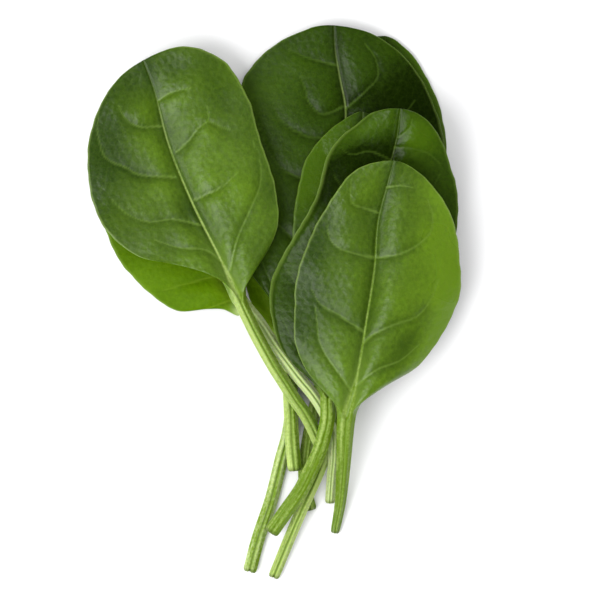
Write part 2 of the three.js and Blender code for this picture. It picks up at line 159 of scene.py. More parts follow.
class Rail:
    """A smooth curve through points of a leaf, measured apart below and above the blade's base."""

    STEPS = 60

    def __init__(self, points: Points, base_point: int = 0,
                 beyond: tuple[float, ...] | None = None) -> None:
        """Samples the curve.

        Args:
            points: Points that the curve passes through, each with two or three coordinates.
            base_point: Index of the point at the blade's base.
            beyond: A point past the last one that the curve's end heads for.
        """
        given = np.array(points, float)
        before = 2 * given[0] - given[1]
        after = 2 * given[-1] - given[-2] if beyond is None else np.array(beyond, float)
        control = np.vstack([before, given, after])
        spans = [self._span(control[i:i + 4]) for i in range(len(given) - 1)]
        self.samples = np.vstack([*spans, given[-1:]])
        steps = np.linalg.norm(np.diff(self.samples, axis=0), axis=1)
        self.lengths = np.concatenate([[0.0], np.cumsum(steps)])
        self.length = float(self.lengths[-1])
        self.base_length = float(self.lengths[base_point * self.STEPS])

    def _span(self, control: np.ndarray) -> np.ndarray:
        """Samples the stretch between the middle two of four points.

        Args:
            control: The four points, a row each.

        Returns:
            The samples, without the stretch's last point.
        """
        gaps = np.sqrt(np.linalg.norm(np.diff(control, axis=0), axis=1))
        chords = [control[i + 1] - control[i] for i in range(3)]
        slopes = [chord / gap for chord, gap in zip(chords, gaps)]
        first = slopes[0] - (control[2] - control[0]) / (gaps[0] + gaps[1]) + slopes[1]
        second = slopes[1] - (control[3] - control[1]) / (gaps[1] + gaps[2]) + slopes[2]
        share = np.linspace(0, 1, self.STEPS, endpoint=False)[:, None]
        square = share * share
        cube = square * share
        return (
            (2 * cube - 3 * square + 1) * control[1]
            + (cube - 2 * square + share) * first * gaps[1]
            + (3 * square - 2 * cube) * control[2]
            + (cube - square) * second * gaps[1]
        )

    def at(self, lengths: np.ndarray) -> np.ndarray:
        """Returns the points at some lengths along the curve, a row each."""
        axes = range(self.samples.shape[1])
        return np.stack([np.interp(lengths, self.lengths, self.samples[:, a]) for a in axes], 1)

    def on_blade(self, shares: np.ndarray) -> np.ndarray:
        """Returns the points at shares of the way from the blade's base to its tip."""
        return self.at(lerp(self.base_length, self.length, np.asarray(shares, float)))

    def across(self, lengths: np.ndarray) -> np.ndarray:
        """Unit vectors across the curve, level and to its right.

        Args:
            lengths: Lengths along the curve.

        Returns:
            The vectors, a row each.
        """
        reach = 0.4
        ahead = self.at(lengths + reach) - self.at(lengths - reach)
        turned = np.stack([ahead[:, 1], -ahead[:, 0], np.zeros(len(ahead))], 1)
        return turned / np.linalg.norm(turned, axis=1)[:, None]


@dataclass(frozen=True)
class Lip:
    """A stretch of margin that is turned up, with shares of the margin's length."""

    side: Side
    start: float
    end: float
    height: float

    EASE = 0.1

    def share(self, place: np.ndarray) -> np.ndarray:
        """Returns how much the margin is turned up at shares of its length, from 0 to 1."""
        rising = smoothstep(place, self.start, self.start + self.EASE)
        return rising * (1 - smoothstep(place, self.end - self.EASE, self.end))


@dataclass(frozen=True)
class Spot:
    """A soft round patch of a blade that differs from what is round it.

    Its painted light and shade makes it lighter or darker: mostly painted shadows, lit patches and
    highlights, partly the leaf's own uneven green. Rise lifts or sinks it, in millimetres. Wax
    makes its sheen sharper, or duller where it is below 0.
    """

    x: float
    y: float
    width: float
    length: float
    turn: float = 0.0
    tone: float = 0.0
    rise: float = 0.0
    wax: float = 0.0

    def share(self, plan: np.ndarray) -> np.ndarray:
        """How much of the patch is felt at some points.

        Args:
            plan: Points in plan, in an array of any shape.

        Returns:
            A number from 0 to 1 for each point.
        """
        cosine, sine = math.cos(math.radians(self.turn)), math.sin(math.radians(self.turn))
        east, north = plan[..., 0] - self.x, plan[..., 1] - self.y
        over = (east * cosine + north * sine) / (self.width / 2)
        along = (north * cosine - east * sine) / (self.length / 2)
        return np.exp(-(over * over + along * along))


@dataclass(frozen=True)
class LeafForm:
    """Measured form of one leaf. Heights are those of its underside; lengths are millimetres.

    Pairs of numbers are for the left and right half, or for the stalk's cut end and the blade.
    """

    name: str
    green: Green
    stalk: Points
    rib: Points
    left: Points
    right: Points
    stalk_half_widths: Pair
    columns: int
    stalk_rows: int
    blade_rows: int
    arch: Pair = (0.0, 0.0)
    swell: float = 0.0
    waves: int = 0
    veins: list[Points] | None = None
    detail: float = 1.0
    lips: tuple[Lip, ...] = ()
    spots: tuple[Spot, ...] = ()
    split_end: float = 0.0
    groove: float = 0.5
    # Share of the darker flank green on the stalk's left and right: partly the stalk's own colour,
    # partly painted shade on the side away from the light.
    flank_olive_and_shade: Pair = (0.4, 0.4)


@dataclass(frozen=True)
class LeafBuild:
    """Sizes that every leaf shares, in millimetres.

    Shares, fades, powers, calms and rounds have no unit. A ramp whose name ends in _blade runs
    over shares of the blade, from its base at 0 to its tip at 1.
    """

    solid_sheet: float = 0.8
    sheet: float = 0.45
    least_sheet_share: float = 0.85
    blade_start: float = 0.14
    depth_ratio: float = 1.45
    shoulder_drop: float = 0.5
    groove: float = 0.45
    cut_taper: float = 0.62
    cut_length: float = 1.0
    cut_shares: tuple[float, ...] = (0, 0.03, 0.1, 0.2, 0.34, 0.5, 0.74)
    notch_share: float = 0.4
    dip_share: float = 0.3
    rib_length: float = 60.0
    rib_tip_half_width: float = 0.45
    rib_taper_power: float = 1.2
    rib_lag_power: float = 1.2
    rib_crowding: float = 0.35
    rib_valley_depth: float = 0.55
    rib_valley_share: float = 0.6
    rib_valley_width: float = 3.2
    rib_soft: float = 3.0
    rib_calm_blade: Ramp = (0.35, 0.75)
    tip_calm: float = 0.8
    tip_calm_blade: Ramp = (0.5, 0.92)
    valley_round: Pair = (0.12, 0.4)
    swell_rise_blade: Ramp = (0.02, 0.2)
    swell_fall_blade: Ramp = (0.6, 1)
    vein_depth: float = 0.65
    vein_spread: float = 1.6
    vein_out_fade: float = 0.7
    vein_end_fade: float = 0.85
    crease_depth: float = 0.16
    crease_spread: float = 0.42
    crease_out_fade: float = 0.4
    crease_end_fade: float = 0.8
    wave_height: float = 0.35
    ragged: float = 0.045
    ragged_waves: tuple[int, ...] = (5, 8, 13, 22)
    ragged_blade: Ramp = (0.05, 0.3)
    lip_width: float = 1.6
    open_from_rib: Ramp = (0.8, 3)
    cell: float = 2.2
    cell_rise: float = 0.07
    cell_edge_share: float = 0.25
    hill: float = 6.0
    hill_rise: float = 0.3


@dataclass(frozen=True)
class LeafPaint:
    """Where each painted value starts and ends, in millimetres, and how strong it is.

    A ramp whose name ends in _blade or _share runs over shares, and what ends in _widths counts
    half widths of the rib or vein.
    """

    from_blade: Ramp = (0, 0.1)
    rib_mark: float = 0.36
    stalk_mark_share: float = 0.8
    mark_narrows: Ramp = (0, 13)
    mark_tip_fade: float = 0.5
    mark_edge: Ramp = (0.3, 1.5)
    mark_opens: Ramp = (0, 5)
    rib_fade: float = 0.92
    rib_fade_blade: Ramp = (0.4, 0.9)
    wedge_margin: float = 1.0
    wedge_end: float = 2.2
    wedge_narrows: Ramp = (2, 16)
    wedge_ends: Ramp = (4, 26)
    wedge_foot: Ramp = (1, 8)
    flank_share: Ramp = (0.2, 0.8)
    groove_widths: float = 0.34
    groove_ends: Ramp = (0, 5)
    vein_widths: Ramp = (0.55, 1.25)
    vein_fade: float = 0.45
    net_edge: Ramp = (0.05, 0.32)
    # Painted highlight along the margin, where light catches the edge, wider and stronger along a
    # turned-up lip.
    rim_edge: Ramp = (0.1, 0.45)
    lip_edge: Ramp = (0.25, 0.9)
    lip_strength: float = 1.6
    cut_edge: Ramp = (0.1, 1.3)
    # Painted shade in the creases beside the veins and the rib, painted light on the tops of the
    # soft hills, and the wax on the hills.
    beside_vein: float = 1.2
    beside_rib: float = 1.9
    crease_shade_strength: float = 0.3
    hill_light_strength: float = 0.12
    hill_wax: float = 0.3


BUILD = LeafBuild()
PAINT = LeafPaint()


class SideVeins:
    """The side veins of one leaf, as smooth lines in plan from the rib outwards."""

    COMMON = [(0.2, 0.14), (0.33, 0.31), (0.45, 0.5), (0.57, 0.7), (0.7, 0.84)]
    COMMON_STEPS = np.array([0, 0.25, 0.5, 0.7, 0.85])
    COMMON_SWEEP = 1.6
    SAMPLES = 30
    HALF_WIDTHS = (0.34, 0.16)

    def __init__(self, form: LeafForm, middle: Rail, margins: list[Rail]) -> None:
        """Lays out the lines.

        Args:
            form: The leaf's form.
            middle: Its stalk and rib.
            margins: Its left and right margin.
        """
        lines = form.veins
        if lines is None:
            lines = [self._common(middle, margin, *p) for margin in margins for p in self.COMMON]
        self.lines = [self._smooth(line) for line in lines]

    def _common(self, middle: Rail, margin: Rail, at_rib: float, at_margin: float) -> Points:
        """A vein of a leaf that lists none.

        Args:
            middle: The leaf's stalk and rib.
            margin: The margin that the vein runs towards.
            at_rib: Share of the blade at which it leaves the rib.
            at_margin: Share of the blade at which it nears the margin.

        Returns:
            Its points in plan.
        """
        out = self.COMMON_STEPS
        place = lerp(at_rib, at_margin, out ** self.COMMON_SWEEP)
        inner = middle.on_blade(rib_place(place))
        outer = margin.on_blade(place)
        return [tuple(point) for point in lerp(inner, outer, out[:, None])[:, :2]]

    def _smooth(self, line: Points) -> np.ndarray:
        """Returns a line's samples, evenly spaced along its smooth curve."""
        rail = Rail(line)
        return rail.at(np.linspace(0, rail.length, self.SAMPLES))

    def distances(self, plan: np.ndarray) -> tuple[np.ndarray, np.ndarray, np.ndarray]:
        """How far some points are from the veins.

        Args:
            plan: Points in plan, a row each.

        Returns:
            The distance to the nearest vein, the least distance over a vein's half width
            there, and how far along its vein the nearest point lies, from 0 at the rib to 1.
        """
        nearest = np.full(len(plan), FAR)
        in_widths = np.full(len(plan), FAR)
        place = np.zeros(len(plan))
        for line in self.lines:
            widths = np.linspace(*self.HALF_WIDTHS, len(line))
            for index, width in enumerate(widths[:-1]):
                distance, share = to_segment(plan, line[index], line[index + 1])
                place = np.where(distance < nearest, (index + share) / (len(line) - 1), place)
                nearest = np.minimum(nearest, distance)
                in_widths = np.minimum(in_widths, distance / width)
        return nearest, in_widths, place


def rib_place(place: np.ndarray) -> np.ndarray:
    """How far along the rib a cross line starts whose ends are at a share of the margins."""
    return ((1 - np.cos(np.pi * place)) / 2) ** BUILD.rib_lag_power


def cell_edges(plan: np.ndarray, pitch: float, seed: int) -> np.ndarray:
    """Distance from some points to the edges of an uneven net of cells.

    Args:
        plan: Points in plan, a row each.
        pitch: Size of a cell.
        seed: Start of the draw that makes the cells uneven.

    Returns:
        The distance for each point, in the units of plan.
    """
    row_share, jitter = 0.87, 0.36
    draw = np.random.default_rng(seed)
    low, high = plan.min(0) - 2 * pitch, plan.max(0) + 2 * pitch
    rows = np.arange(low[1], high[1], pitch * row_share)
    columns = np.arange(low[0], high[0], pitch)
    east, north = np.meshgrid(columns, rows)
    east = east + 0.5 * pitch * (np.arange(len(rows)) % 2)[:, None]
    centres = np.stack([east.ravel(), north.ravel()], 1)
    centres += draw.uniform(-jitter, jitter, centres.shape) * pitch
    tree = KDTree(len(centres))
    for index, centre in enumerate(centres):
        tree.insert((*centre, 0.0), index)
    tree.balance()
    pairs = [[found[1] for found in tree.find_n((*point, 0.0), 2)] for point in plan]
    first, second = centres[[p[0] for p in pairs]], centres[[p[1] for p in pairs]]
    near = np.sum((plan - first) ** 2, 1)
    far = np.sum((plan - second) ** 2, 1)
    return (far - near) / (2 * np.linalg.norm(second - first, axis=1))


def soft_hills(plan: np.ndarray, pitch: float, seed: int) -> np.ndarray:
    """Height of gentle hills and hollows strewn over some points.

    Args:
        plan: Points in plan, a row each.
        pitch: Distance from one hill or hollow to the next.
        seed: Start of the draw that strews them.

    Returns:
        A number of about -1 to 1 for each point.
    """
    jitter, hill_width = 0.4, 0.55 * pitch
    draw = np.random.default_rng(seed)
    low, high = plan.min(0) - pitch, plan.max(0) + pitch
    height = np.zeros(len(plan))
    for east in np.arange(low[0], high[0], pitch):
        for north in np.arange(low[1], high[1], pitch):
            centre = np.array([east, north]) + draw.uniform(-jitter, jitter, 2) * pitch
            steep = draw.uniform(-1, 1)
            height += steep * bell(np.linalg.norm(plan - centre, axis=1), hill_width)
    return height


@dataclass(frozen=True)
class Grid:
    """Where the points of a leaf's face lie, with a row for each cross line.

    Place is the share of the blade from its base to its tip, blade says how far a point belongs
    to the blade and not to the stalk, and sheet is the thickness there. Out is the share of the
    way from the rib to the margin, and reach is the length of that way. Side holds the values
    of Side, and distance runs along the leaf from its cut end.
    """

    plan: np.ndarray
    place: np.ndarray
    blade: np.ndarray
    sheet: np.ndarray
    out: np.ndarray
    reach: np.ndarray
    half_width: np.ndarray
    side: np.ndarray
    distance: np.ndarray

    @property
    def from_rib(self) -> np.ndarray:
        """Returns how far each point is from the rib."""
        return self.out * self.reach

    @property
    def in_rib(self) -> np.ndarray:
        """Returns how far each point is from the rib, in half widths of the rib."""
        return self.from_rib / self.half_width


@dataclass(frozen=True)
class Marks:
    """What lies near each point of a blade: its veins, its small cells and its soft hills.

    Hold is how strongly the veins draw the blade down there.
    """

    off_vein: np.ndarray
    in_widths: np.ndarray
    along_vein: np.ndarray
    hold: np.ndarray
    cells: np.ndarray
    hills: np.ndarray


class LeafSkin:
    """Builds the closed mesh of one leaf, with what its finish needs painted on its points."""

    RIM_STEPS = 3
    RIB_SAMPLES = 50
    SEED_STEP = 100

    def __init__(self, form: LeafForm, index: int) -> None:
        """Lays out the leaf's rails.

        Args:
            form: The leaf's form.
            index: Its place in the pile from the table up, which seeds its draws.
        """
        self.form = form
        self.seed = self.SEED_STEP * (index + 1)
        base = len(form.stalk) - 1
        self.middle = Rail(form.stalk + form.rib, base)
        self.left = self._margin(form.left, Side.LEFT, form.right[-1])
        self.right = self._margin(form.right, Side.RIGHT, form.left[-1])
        self.veins = SideVeins(form, self.middle, [self.left, self.right])
        self.base = self.middle.on_blade([0.0])[0, :2]
        self.paint: dict[str, np.ndarray] = {}

    def _off_rib(self, plan: np.ndarray) -> np.ndarray:
        """Returns how far some points in plan are from the rib."""
        line = self.middle.on_blade(np.linspace(0, 1, self.RIB_SAMPLES))[:, :2]
        nearest = np.full(plan.shape[:2], FAR)
        for start, end in zip(line[:-1], line[1:]):
            nearest = np.minimum(nearest, to_segment(plan, start, end)[0])
        return nearest

    def _margin(self, points: Points, side: Side, beyond: tuple[float, ...]) -> Rail:
        """A margin's rail, which starts along the stalk's side and runs smoothly over the tip.

        Args:
            points: The margin's own points.
            side: Which margin it is.
            beyond: The other margin's last point before the tip.

        Returns:
            The rail, with the blade's base at its second point.
        """
        stalk = self.form.stalk
        base = len(stalk) - 1
        half_width = self.form.stalk_half_widths[1]
        lift = BUILD.depth_ratio * half_width - BUILD.shoulder_drop - BUILD.solid_sheet
        starts = []
        for index in (base - 1, base):
            at = self.middle.lengths[index * Rail.STEPS]
            across = self.middle.across(np.array([at]))[0] * side.value * half_width
            starts.append(tuple(np.array(stalk[index]) + across + (0, 0, lift)))
        return Rail([*starts, *points, self.form.rib[-1]], 1, beyond)

    def build(self) -> bpy.types.Object:
        """Makes the mesh object.

        Returns:
            The object, not yet dressed.
        """
        rows = self._rows()
        upper, lower = self._surfaces(rows)
        return self._mesh(self._rings(upper, lower))

    def _rows(self) -> dict[str, np.ndarray]:
        """The cross lines from the cut end to the tip.

        Returns:
            Arrays with a row for each line: middle, left, right, half_width, depth, place and
            distance, which is its length from the cut end.
        """
        form, build = self.form, BUILD
        stalk_length = self.middle.base_length
        ends = np.array(build.cut_shares) * build.cut_length
        run = np.linspace(build.cut_length, stalk_length, form.stalk_rows, endpoint=False)
        distance = np.concatenate([ends, run])
        near_end = np.clip(distance / build.cut_length, 0, 1)
        rounding = lerp(build.cut_taper, 1, np.sqrt(1 - (1 - near_end) ** 2))
        full = lerp(*form.stalk_half_widths, distance / stalk_length)
        half_width = rounding * full
        depth = build.depth_ratio * half_width
        middle = self.middle.at(distance)
        middle[:, 2] += (build.depth_ratio * full + depth) / 2
        across = self.middle.across(distance) * half_width[:, None]
        drop = np.array([0, 0, build.shoulder_drop])

        place = np.arange(form.blade_rows) / form.blade_rows
        rib_share = rib_place(place)
        base = form.stalk_half_widths[1]
        rib_half_width = lerp(base, build.rib_tip_half_width, rib_share)
        taper = (rib_half_width / base) ** build.rib_taper_power
        rib_depth = lerp(build.solid_sheet, build.depth_ratio * base, taper)
        rib = self.middle.on_blade(rib_share)
        rib[:, 2] += rib_depth
        sheet = np.array([0, 0, build.solid_sheet])
        return {
            "middle": np.vstack([middle, rib]),
            "left": np.vstack([middle - across - drop, self.left.on_blade(place) + sheet]),
            "right": np.vstack([middle + across - drop, self.right.on_blade(place) + sheet]),
            "half_width": np.concatenate([half_width, rib_half_width]),
            "depth": np.concatenate([depth, rib_depth]),
            "place": np.concatenate([np.zeros(len(distance)), place]),
            "distance": np.concatenate([distance, stalk_length + rib_share * build.rib_length]),
        }

    def _grid(self, rows: dict[str, np.ndarray]) -> Grid:
        """Spreads points over the leaf in plan.

        Args:
            rows: The cross lines.

        Returns:
            The points, with a row for each cross line and a column for each step from the left
            margin to the right.
        """
        form, build = self.form, BUILD
        column = np.arange(-form.columns, form.columns + 1)
        is_left = (column < 0)[None, :]
        middle, left, right = (rows[name][:, None, :2] for name in ("middle", "left", "right"))
        gap = np.where(is_left[..., None], left, right) - middle
        reach = np.maximum(np.linalg.norm(gap, axis=2), 1e-6)
        names = ("place", "half_width", "distance")
        place, half_width, distance = (rows[name][:, None] + 0 * reach for name in names)
        blade = smoothstep(place, 0, build.blade_start)
        sheet = lerp(build.solid_sheet, build.sheet, blade)

        crowding = 1 + build.rib_crowding * (1 - np.minimum(1, half_width / reach))
        out = (np.abs(column)[None, :] / form.columns) ** crowding
        ragged = self._ragged(rows["place"], is_left) * smoothstep(place, *build.ragged_blade)
        inset = 1 - np.minimum(0.5, sheet / 2 / reach) + ragged * out ** 6 / reach
        plan = middle + gap * (out * inset)[..., None]
        step = 0.5
        start, end = self.middle.at(np.array([0, step]))[:, :2]
        near_end = 1 - np.minimum(1, distance / build.cut_length)
        notch = form.split_end * near_end * bell(out * reach / half_width, build.notch_share)
        plan = plan + notch[..., None] * (end - start) / step
        side = np.where(is_left, Side.LEFT.value, Side.RIGHT.value) + 0 * reach
        return Grid(plan, place, blade, sheet, out, reach, half_width, side, distance)

    def _ragged(self, place: np.ndarray, is_left: np.ndarray) -> np.ndarray:
        """Small unevenness of the outline.

        Args:
            place: Share of the blade of each cross line.
            is_left: Which columns lie on the left half.

        Returns:
            How far the margin moves out, for each cross line and column.
        """
        draw = np.random.default_rng(self.seed + Draw.OUTLINE.value)
        sides = []
        for _ in Side:
            shift = np.zeros(len(place))
            for waves in BUILD.ragged_waves:
                shift += np.sin(2 * np.pi * (waves * place + draw.uniform()))
            sides.append(shift[:, None] * BUILD.ragged)
        return np.where(is_left, *sides)

    def _marks(self, grid: Grid) -> Marks:
        """Finds what lies near each point of the blade.

        Args:
            grid: The leaf's points.

        Returns:
            The veins, cells and hills near each point.
        """
        build, flat, shape = BUILD, grid.plan.reshape(-1, 2), grid.place.shape
        off_vein, in_widths, along = (v.reshape(shape) for v in self.veins.distances(flat))
        hold = 1 - bell(grid.from_rib, build.rib_valley_width)
        hold = hold * (1 - build.vein_out_fade * grid.out) * grid.blade
        hold = hold * (1 - build.vein_end_fade * along ** 2)
        cells = cell_edges(flat, build.cell, self.seed + Draw.CELLS.value).reshape(shape)
        hills = soft_hills(flat, build.hill, self.seed + Draw.HILLS.value).reshape(shape)
        return Marks(off_vein, in_widths, along, hold, cells, hills)

    def _surfaces(self, rows: dict[str, np.ndarray]) -> tuple[np.ndarray, np.ndarray]:
        """The upper and lower face, each a grid of points.

        Args:
            rows: The cross lines.

        Returns:
            Upper and lower points, with a row for each cross line and a column for each step
            from the left margin to the right.
        """
        form, build = self.form, BUILD
        grid = self._grid(rows)
        marks = self._marks(grid)
        out, place, blade = grid.out, grid.place, grid.blade
        is_left = grid.side == Side.LEFT.value
        middle, left, right = (rows[name][:, None, 2] for name in ("middle", "left", "right"))

        bend = lerp(*build.valley_round, place)
        rounded = (np.hypot(out, bend) - bend) / (np.hypot(1, bend) - bend)
        rise = lerp(out ** 2, rounded, blade)
        surface = lerp(middle, np.where(is_left, left, right), rise)
        bow = 4 * out * (1 - out)
        calm_tip = 1 - build.tip_calm * smoothstep(place, *build.tip_calm_blade)
        off_rib = 1 - bell(grid.from_rib, build.rib_soft)
        calm_rib = lerp(1, off_rib, smoothstep(place, *build.rib_calm_blade))
        arch = bow * np.where(is_left, *form.arch) * np.sin(np.pi * place)
        surface = surface + arch * calm_tip * calm_rib
        surface = surface + self._relief(grid, marks)

        depth = rows["depth"][:, None]
        body = np.sqrt(np.maximum(0, 1 - grid.in_rib ** 2))
        low = np.maximum(0, surface - grid.sheet - (depth - grid.sheet) * body)
        valley = blade * build.rib_valley_depth * np.minimum(1, depth - build.solid_sheet)
        valley = valley * bell(grid.in_rib, build.rib_valley_share)
        dip = bell(grid.in_rib, build.dip_share) * (1 - blade) * (form.groove - 0.5) / 2
        high = surface + (1 - blade) * build.groove * bow - valley - dip
        high = np.maximum(high, low + build.least_sheet_share * grid.sheet)
        self._paint_stalk(grid)
        self._paint_blade(grid, marks)
        upper, lower = (np.concatenate([grid.plan, z[..., None]], 2) for z in (high, low))
        return upper, lower

    def _relief(self, grid: Grid, marks: Marks) -> np.ndarray:
        """Swell, veins, waves and cells of the blade.

        Args:
            grid: The leaf's points.
            marks: What lies near them.

        Returns:
            Height to add at each point.
        """
        form, build = self.form, BUILD
        out, place, from_rib = grid.out, grid.place, grid.from_rib
        body = smoothstep(place, *build.swell_rise_blade)
        body = body * (1 - smoothstep(place, *build.swell_fall_blade))
        beside = 1 - bell(from_rib, build.rib_valley_width)
        height = form.swell * body * beside * (1 - out * out)
        height = height - build.vein_depth * marks.hold * bell(marks.off_vein, build.vein_spread)
        crease = bell(marks.off_vein, build.crease_spread) * (1 - build.crease_out_fade * out)
        crease = crease * (1 - build.crease_end_fade * marks.along_vein ** 2)
        height = height - form.detail * build.crease_depth * crease * grid.blade
        wave = np.sin(2 * np.pi * form.waves * place) * out ** 3 * np.sin(np.pi * place)
        height = height + build.wave_height * wave
        open_blade = grid.blade * smoothstep(from_rib, *build.open_from_rib) * form.detail
        puffed = 1 - bell(marks.cells, build.cell_edge_share * build.cell)
        height = height + open_blade * build.cell_rise * puffed
        height = height + open_blade * build.hill_rise * marks.hills * (1 - out ** 4)
        for spot in form.spots:
            height = height + spot.rise * spot.share(grid.plan) * (1 - out ** 3)
        for lip in form.lips:
            turned = np.clip((out - 1) * grid.reach / build.lip_width + 1, 0, 1) ** 2
            turned = turned * lip.share(place) * (grid.side == lip.side.value)
            height = height + lip.height * turned
        return height

    def _paint_stalk(self, grid: Grid) -> None:
        """Paints the stalk, the rib that it runs on as, and the light wedge at the blade's base,
        with painted shade on the stalk's right flank and in its groove.

        Args:
            grid: The leaf's points.
        """
        form, paint = self.form, PAINT
        off_rib = self._off_rib(grid.plan)
        from_base = np.linalg.norm(grid.plan - self.base, axis=2) * (grid.place > 0)
        half_stalk = form.stalk_half_widths[1]
        mark = lerp(paint.stalk_mark_share * half_stalk, paint.rib_mark,
                    smoothstep(from_base, *paint.mark_narrows))
        mark = mark * (1 - paint.mark_tip_fade * grid.place)
        wing = smoothstep(off_rib / mark, *paint.mark_edge)
        wing = wing * smoothstep(from_base, *paint.mark_opens)
        fading = 1 - paint.rib_fade * smoothstep(grid.place, *paint.rib_fade_blade)
        wedge_width = lerp(half_stalk + paint.wedge_margin, paint.wedge_end,
                           smoothstep(from_base, *paint.wedge_narrows))
        wedge = bell(off_rib, wedge_width) * (1 - smoothstep(from_base, *paint.wedge_ends))
        from_left = np.clip((grid.side * grid.in_rib + 1) / 2, 0, 1)
        middle = bell(grid.in_rib, paint.groove_widths)
        middle = middle * (1 - smoothstep(from_base, *paint.groove_ends))
        self.paint |= {
            "stalk": (1 - wing) * fading,
            "wedge": np.maximum(wedge, 1 - smoothstep(from_base, *paint.wedge_foot)),
            # Painted shade: the stalk darkens from its left flank to its right, partly its own
            # colour, partly shade on the side away from the light.
            "olive_and_shade": lerp(*form.flank_olive_and_shade, smoothstep(from_left, *paint.flank_share)),
            # The groove's darker green is partly painted shade in the channel.
            "groove": middle * form.groove,
            "cut": 1 - smoothstep(grid.distance, *paint.cut_edge),
            "across": grid.side * grid.from_rib,
            "along": grid.distance,
        }

    def _paint_blade(self, grid: Grid, marks: Marks) -> None:
        """Paints the veins, the net, the highlight along the margin, the painted light and shade,
        and the wax of the blade.

        Args:
            grid: The leaf's points.
            marks: What lies near them.
        """
        form, paint = self.form, PAINT
        on_blade = smoothstep(grid.place, *paint.from_blade)
        from_margin = (1 - grid.out) * grid.reach
        # Painted highlight along the margin where light catches the edge, and a wider one along
        # each turned-up lip.
        edge_highlight = on_blade * (1 - smoothstep(from_margin, *paint.rim_edge))
        for lip in form.lips:
            wide = (1 - smoothstep(from_margin, *paint.lip_edge)) * lip.share(grid.place)
            wide = paint.lip_strength * wide * (grid.side == lip.side.value)
            edge_highlight = np.maximum(edge_highlight, wide)
        # Painted shade in the creases beside the veins and the rib, and painted light on the tops
        # of the soft hills.
        crease_shade = bell(marks.off_vein, paint.beside_vein) * marks.hold
        crease_shade = crease_shade + bell(grid.from_rib, paint.beside_rib) * grid.blade
        tone = form.detail * (paint.hill_light_strength * marks.hills - paint.crease_shade_strength * crease_shade)
        wax = 1 + form.detail * paint.hill_wax * marks.hills
        # Each spot paints light or shade on the blade, and adds its wax.
        for spot in form.spots:
            share = spot.share(grid.plan)
            tone = tone + spot.tone * share
            wax = wax + spot.wax * share
        veins = 1 - smoothstep(marks.in_widths, *paint.vein_widths)
        self.paint |= {
            "vein": veins * on_blade * (1 - paint.vein_fade * grid.out),
            "net": on_blade * (1 - smoothstep(marks.cells, *paint.net_edge)),
            "edge_highlight": edge_highlight,
            "tone": tone,
            "wax": np.clip(wax, 0, MOST_WAX),
        }

    def _rings(self, upper: np.ndarray, lower: np.ndarray) -> np.ndarray:
        """Joins both faces round their margins, and does the same to what is painted.

        Args:
            upper: Grid of the upper face.
            lower: Grid of the lower face.

        Returns:
            The rings of points from the cut end to the tip, a row each.
        """
        def arc(column: int, inner: int) -> np.ndarray:
            """Points of the half circle round one margin, from its lower to its upper face."""
            top, bottom = upper[:, column], lower[:, column]
            centre = (top + bottom) / 2
            radius = np.linalg.norm(top - bottom, axis=1) / 2
            away = top - upper[:, inner]
            away[:, 2] = 0
            away = away / np.maximum(np.linalg.norm(away, axis=1), 1e-9)[:, None]
            angles = np.linspace(-math.pi / 2, math.pi / 2, self.RIM_STEPS + 2)[1:-1]
            points = []
            for angle in angles:
                outward = away * (radius * math.cos(angle))[:, None]
                lift = np.zeros_like(outward)
                lift[:, 2] = radius * math.sin(angle)
                points.append(centre + outward + lift)
            return np.stack(points, 1)

        right = arc(-1, -2)[:, ::-1]
        left = arc(0, 1)
        rings = np.concatenate([upper, right, lower[:, ::-1], left], 1)
        count = upper.shape[1]
        for name, grid in self.paint.items():
            steps = np.ones((1, self.RIM_STEPS))
            flipped = grid[:, ::-1]
            parts = [grid, grid[:, -1:] * steps, flipped, grid[:, :1] * steps]
            self.paint[name] = np.concatenate(parts, 1)
        under = np.zeros(rings.shape[1])
        under[count + self.RIM_STEPS:2 * count + self.RIM_STEPS] = 1
        self.paint["under"] = np.broadcast_to(under, rings.shape[:2])
        return rings

    def _mesh(self, rings: np.ndarray) -> bpy.types.Object:
        """Turns the rings to a closed mesh with its painted values.

        Args:
            rings: Points, with a row for each ring.

        Returns:
            The object.
        """
        count, width = rings.shape[:2]
        cut_centre = rings[0].mean(0)
        tip = np.array(self.form.rib[-1]) + (0, 0, BUILD.solid_sheet - BUILD.sheet / 2)
        points = np.vstack([rings.reshape(-1, 3), cut_centre, tip])
        start, nose = count * width, count * width + 1
        ring = np.arange(width)
        after = (ring + 1) % width
        base = (np.arange(count - 1) * width)[:, None]
        corners = [base + ring, base + after, base + after + width, base + ring + width]
        quads = np.stack(corners, 2).reshape(-1, 4)
        last = (count - 1) * width
        fans = [(int(after[i]), int(i), start) for i in ring]
        fans += [(last + int(i), last + int(after[i]), nose) for i in ring]
        mesh = bpy.data.meshes.new(self.form.name)
        mesh.from_pydata((points * MM).tolist(), [], quads.tolist() + fans)
        mesh.shade_smooth()
        for name, grid in self.paint.items():
            values = np.append(grid.ravel(), [grid[0].mean(), grid[-1].mean()])
            layer = mesh.attributes.new(name, "FLOAT", "POINT")
            layer.data.foreach_set("value", values.astype(np.float32))
        mesh.validate()
        leaf = bpy.data.objects.new(self.form.name + "_skin", mesh)
        bpy.context.scene.collection.objects.link(leaf)
        return leaf


def add_node(tree: bpy.types.NodeTree, kind: str, settings: dict[str, Any] | None = None,
             links: dict[Any, Any] | None = None) -> bpy.types.Node:
    """Adds a node with its settings and links.

    Args:
        tree: Where the node goes.
        kind: Blender's name for the kind of node.
        settings: Properties of the node.
        links: For each input, by name or number, the output that feeds it or its value.

    Returns:
        The node.
    """
    node = tree.nodes.new(kind)
    for name, value in (settings or {}).items():
        setattr(node, name, value)
    for socket, source in (links or {}).items():
        if isinstance(source, bpy.types.NodeSocket):
            tree.links.new(source, node.inputs[socket])
        else:
            node.inputs[socket].default_value = source
    return node


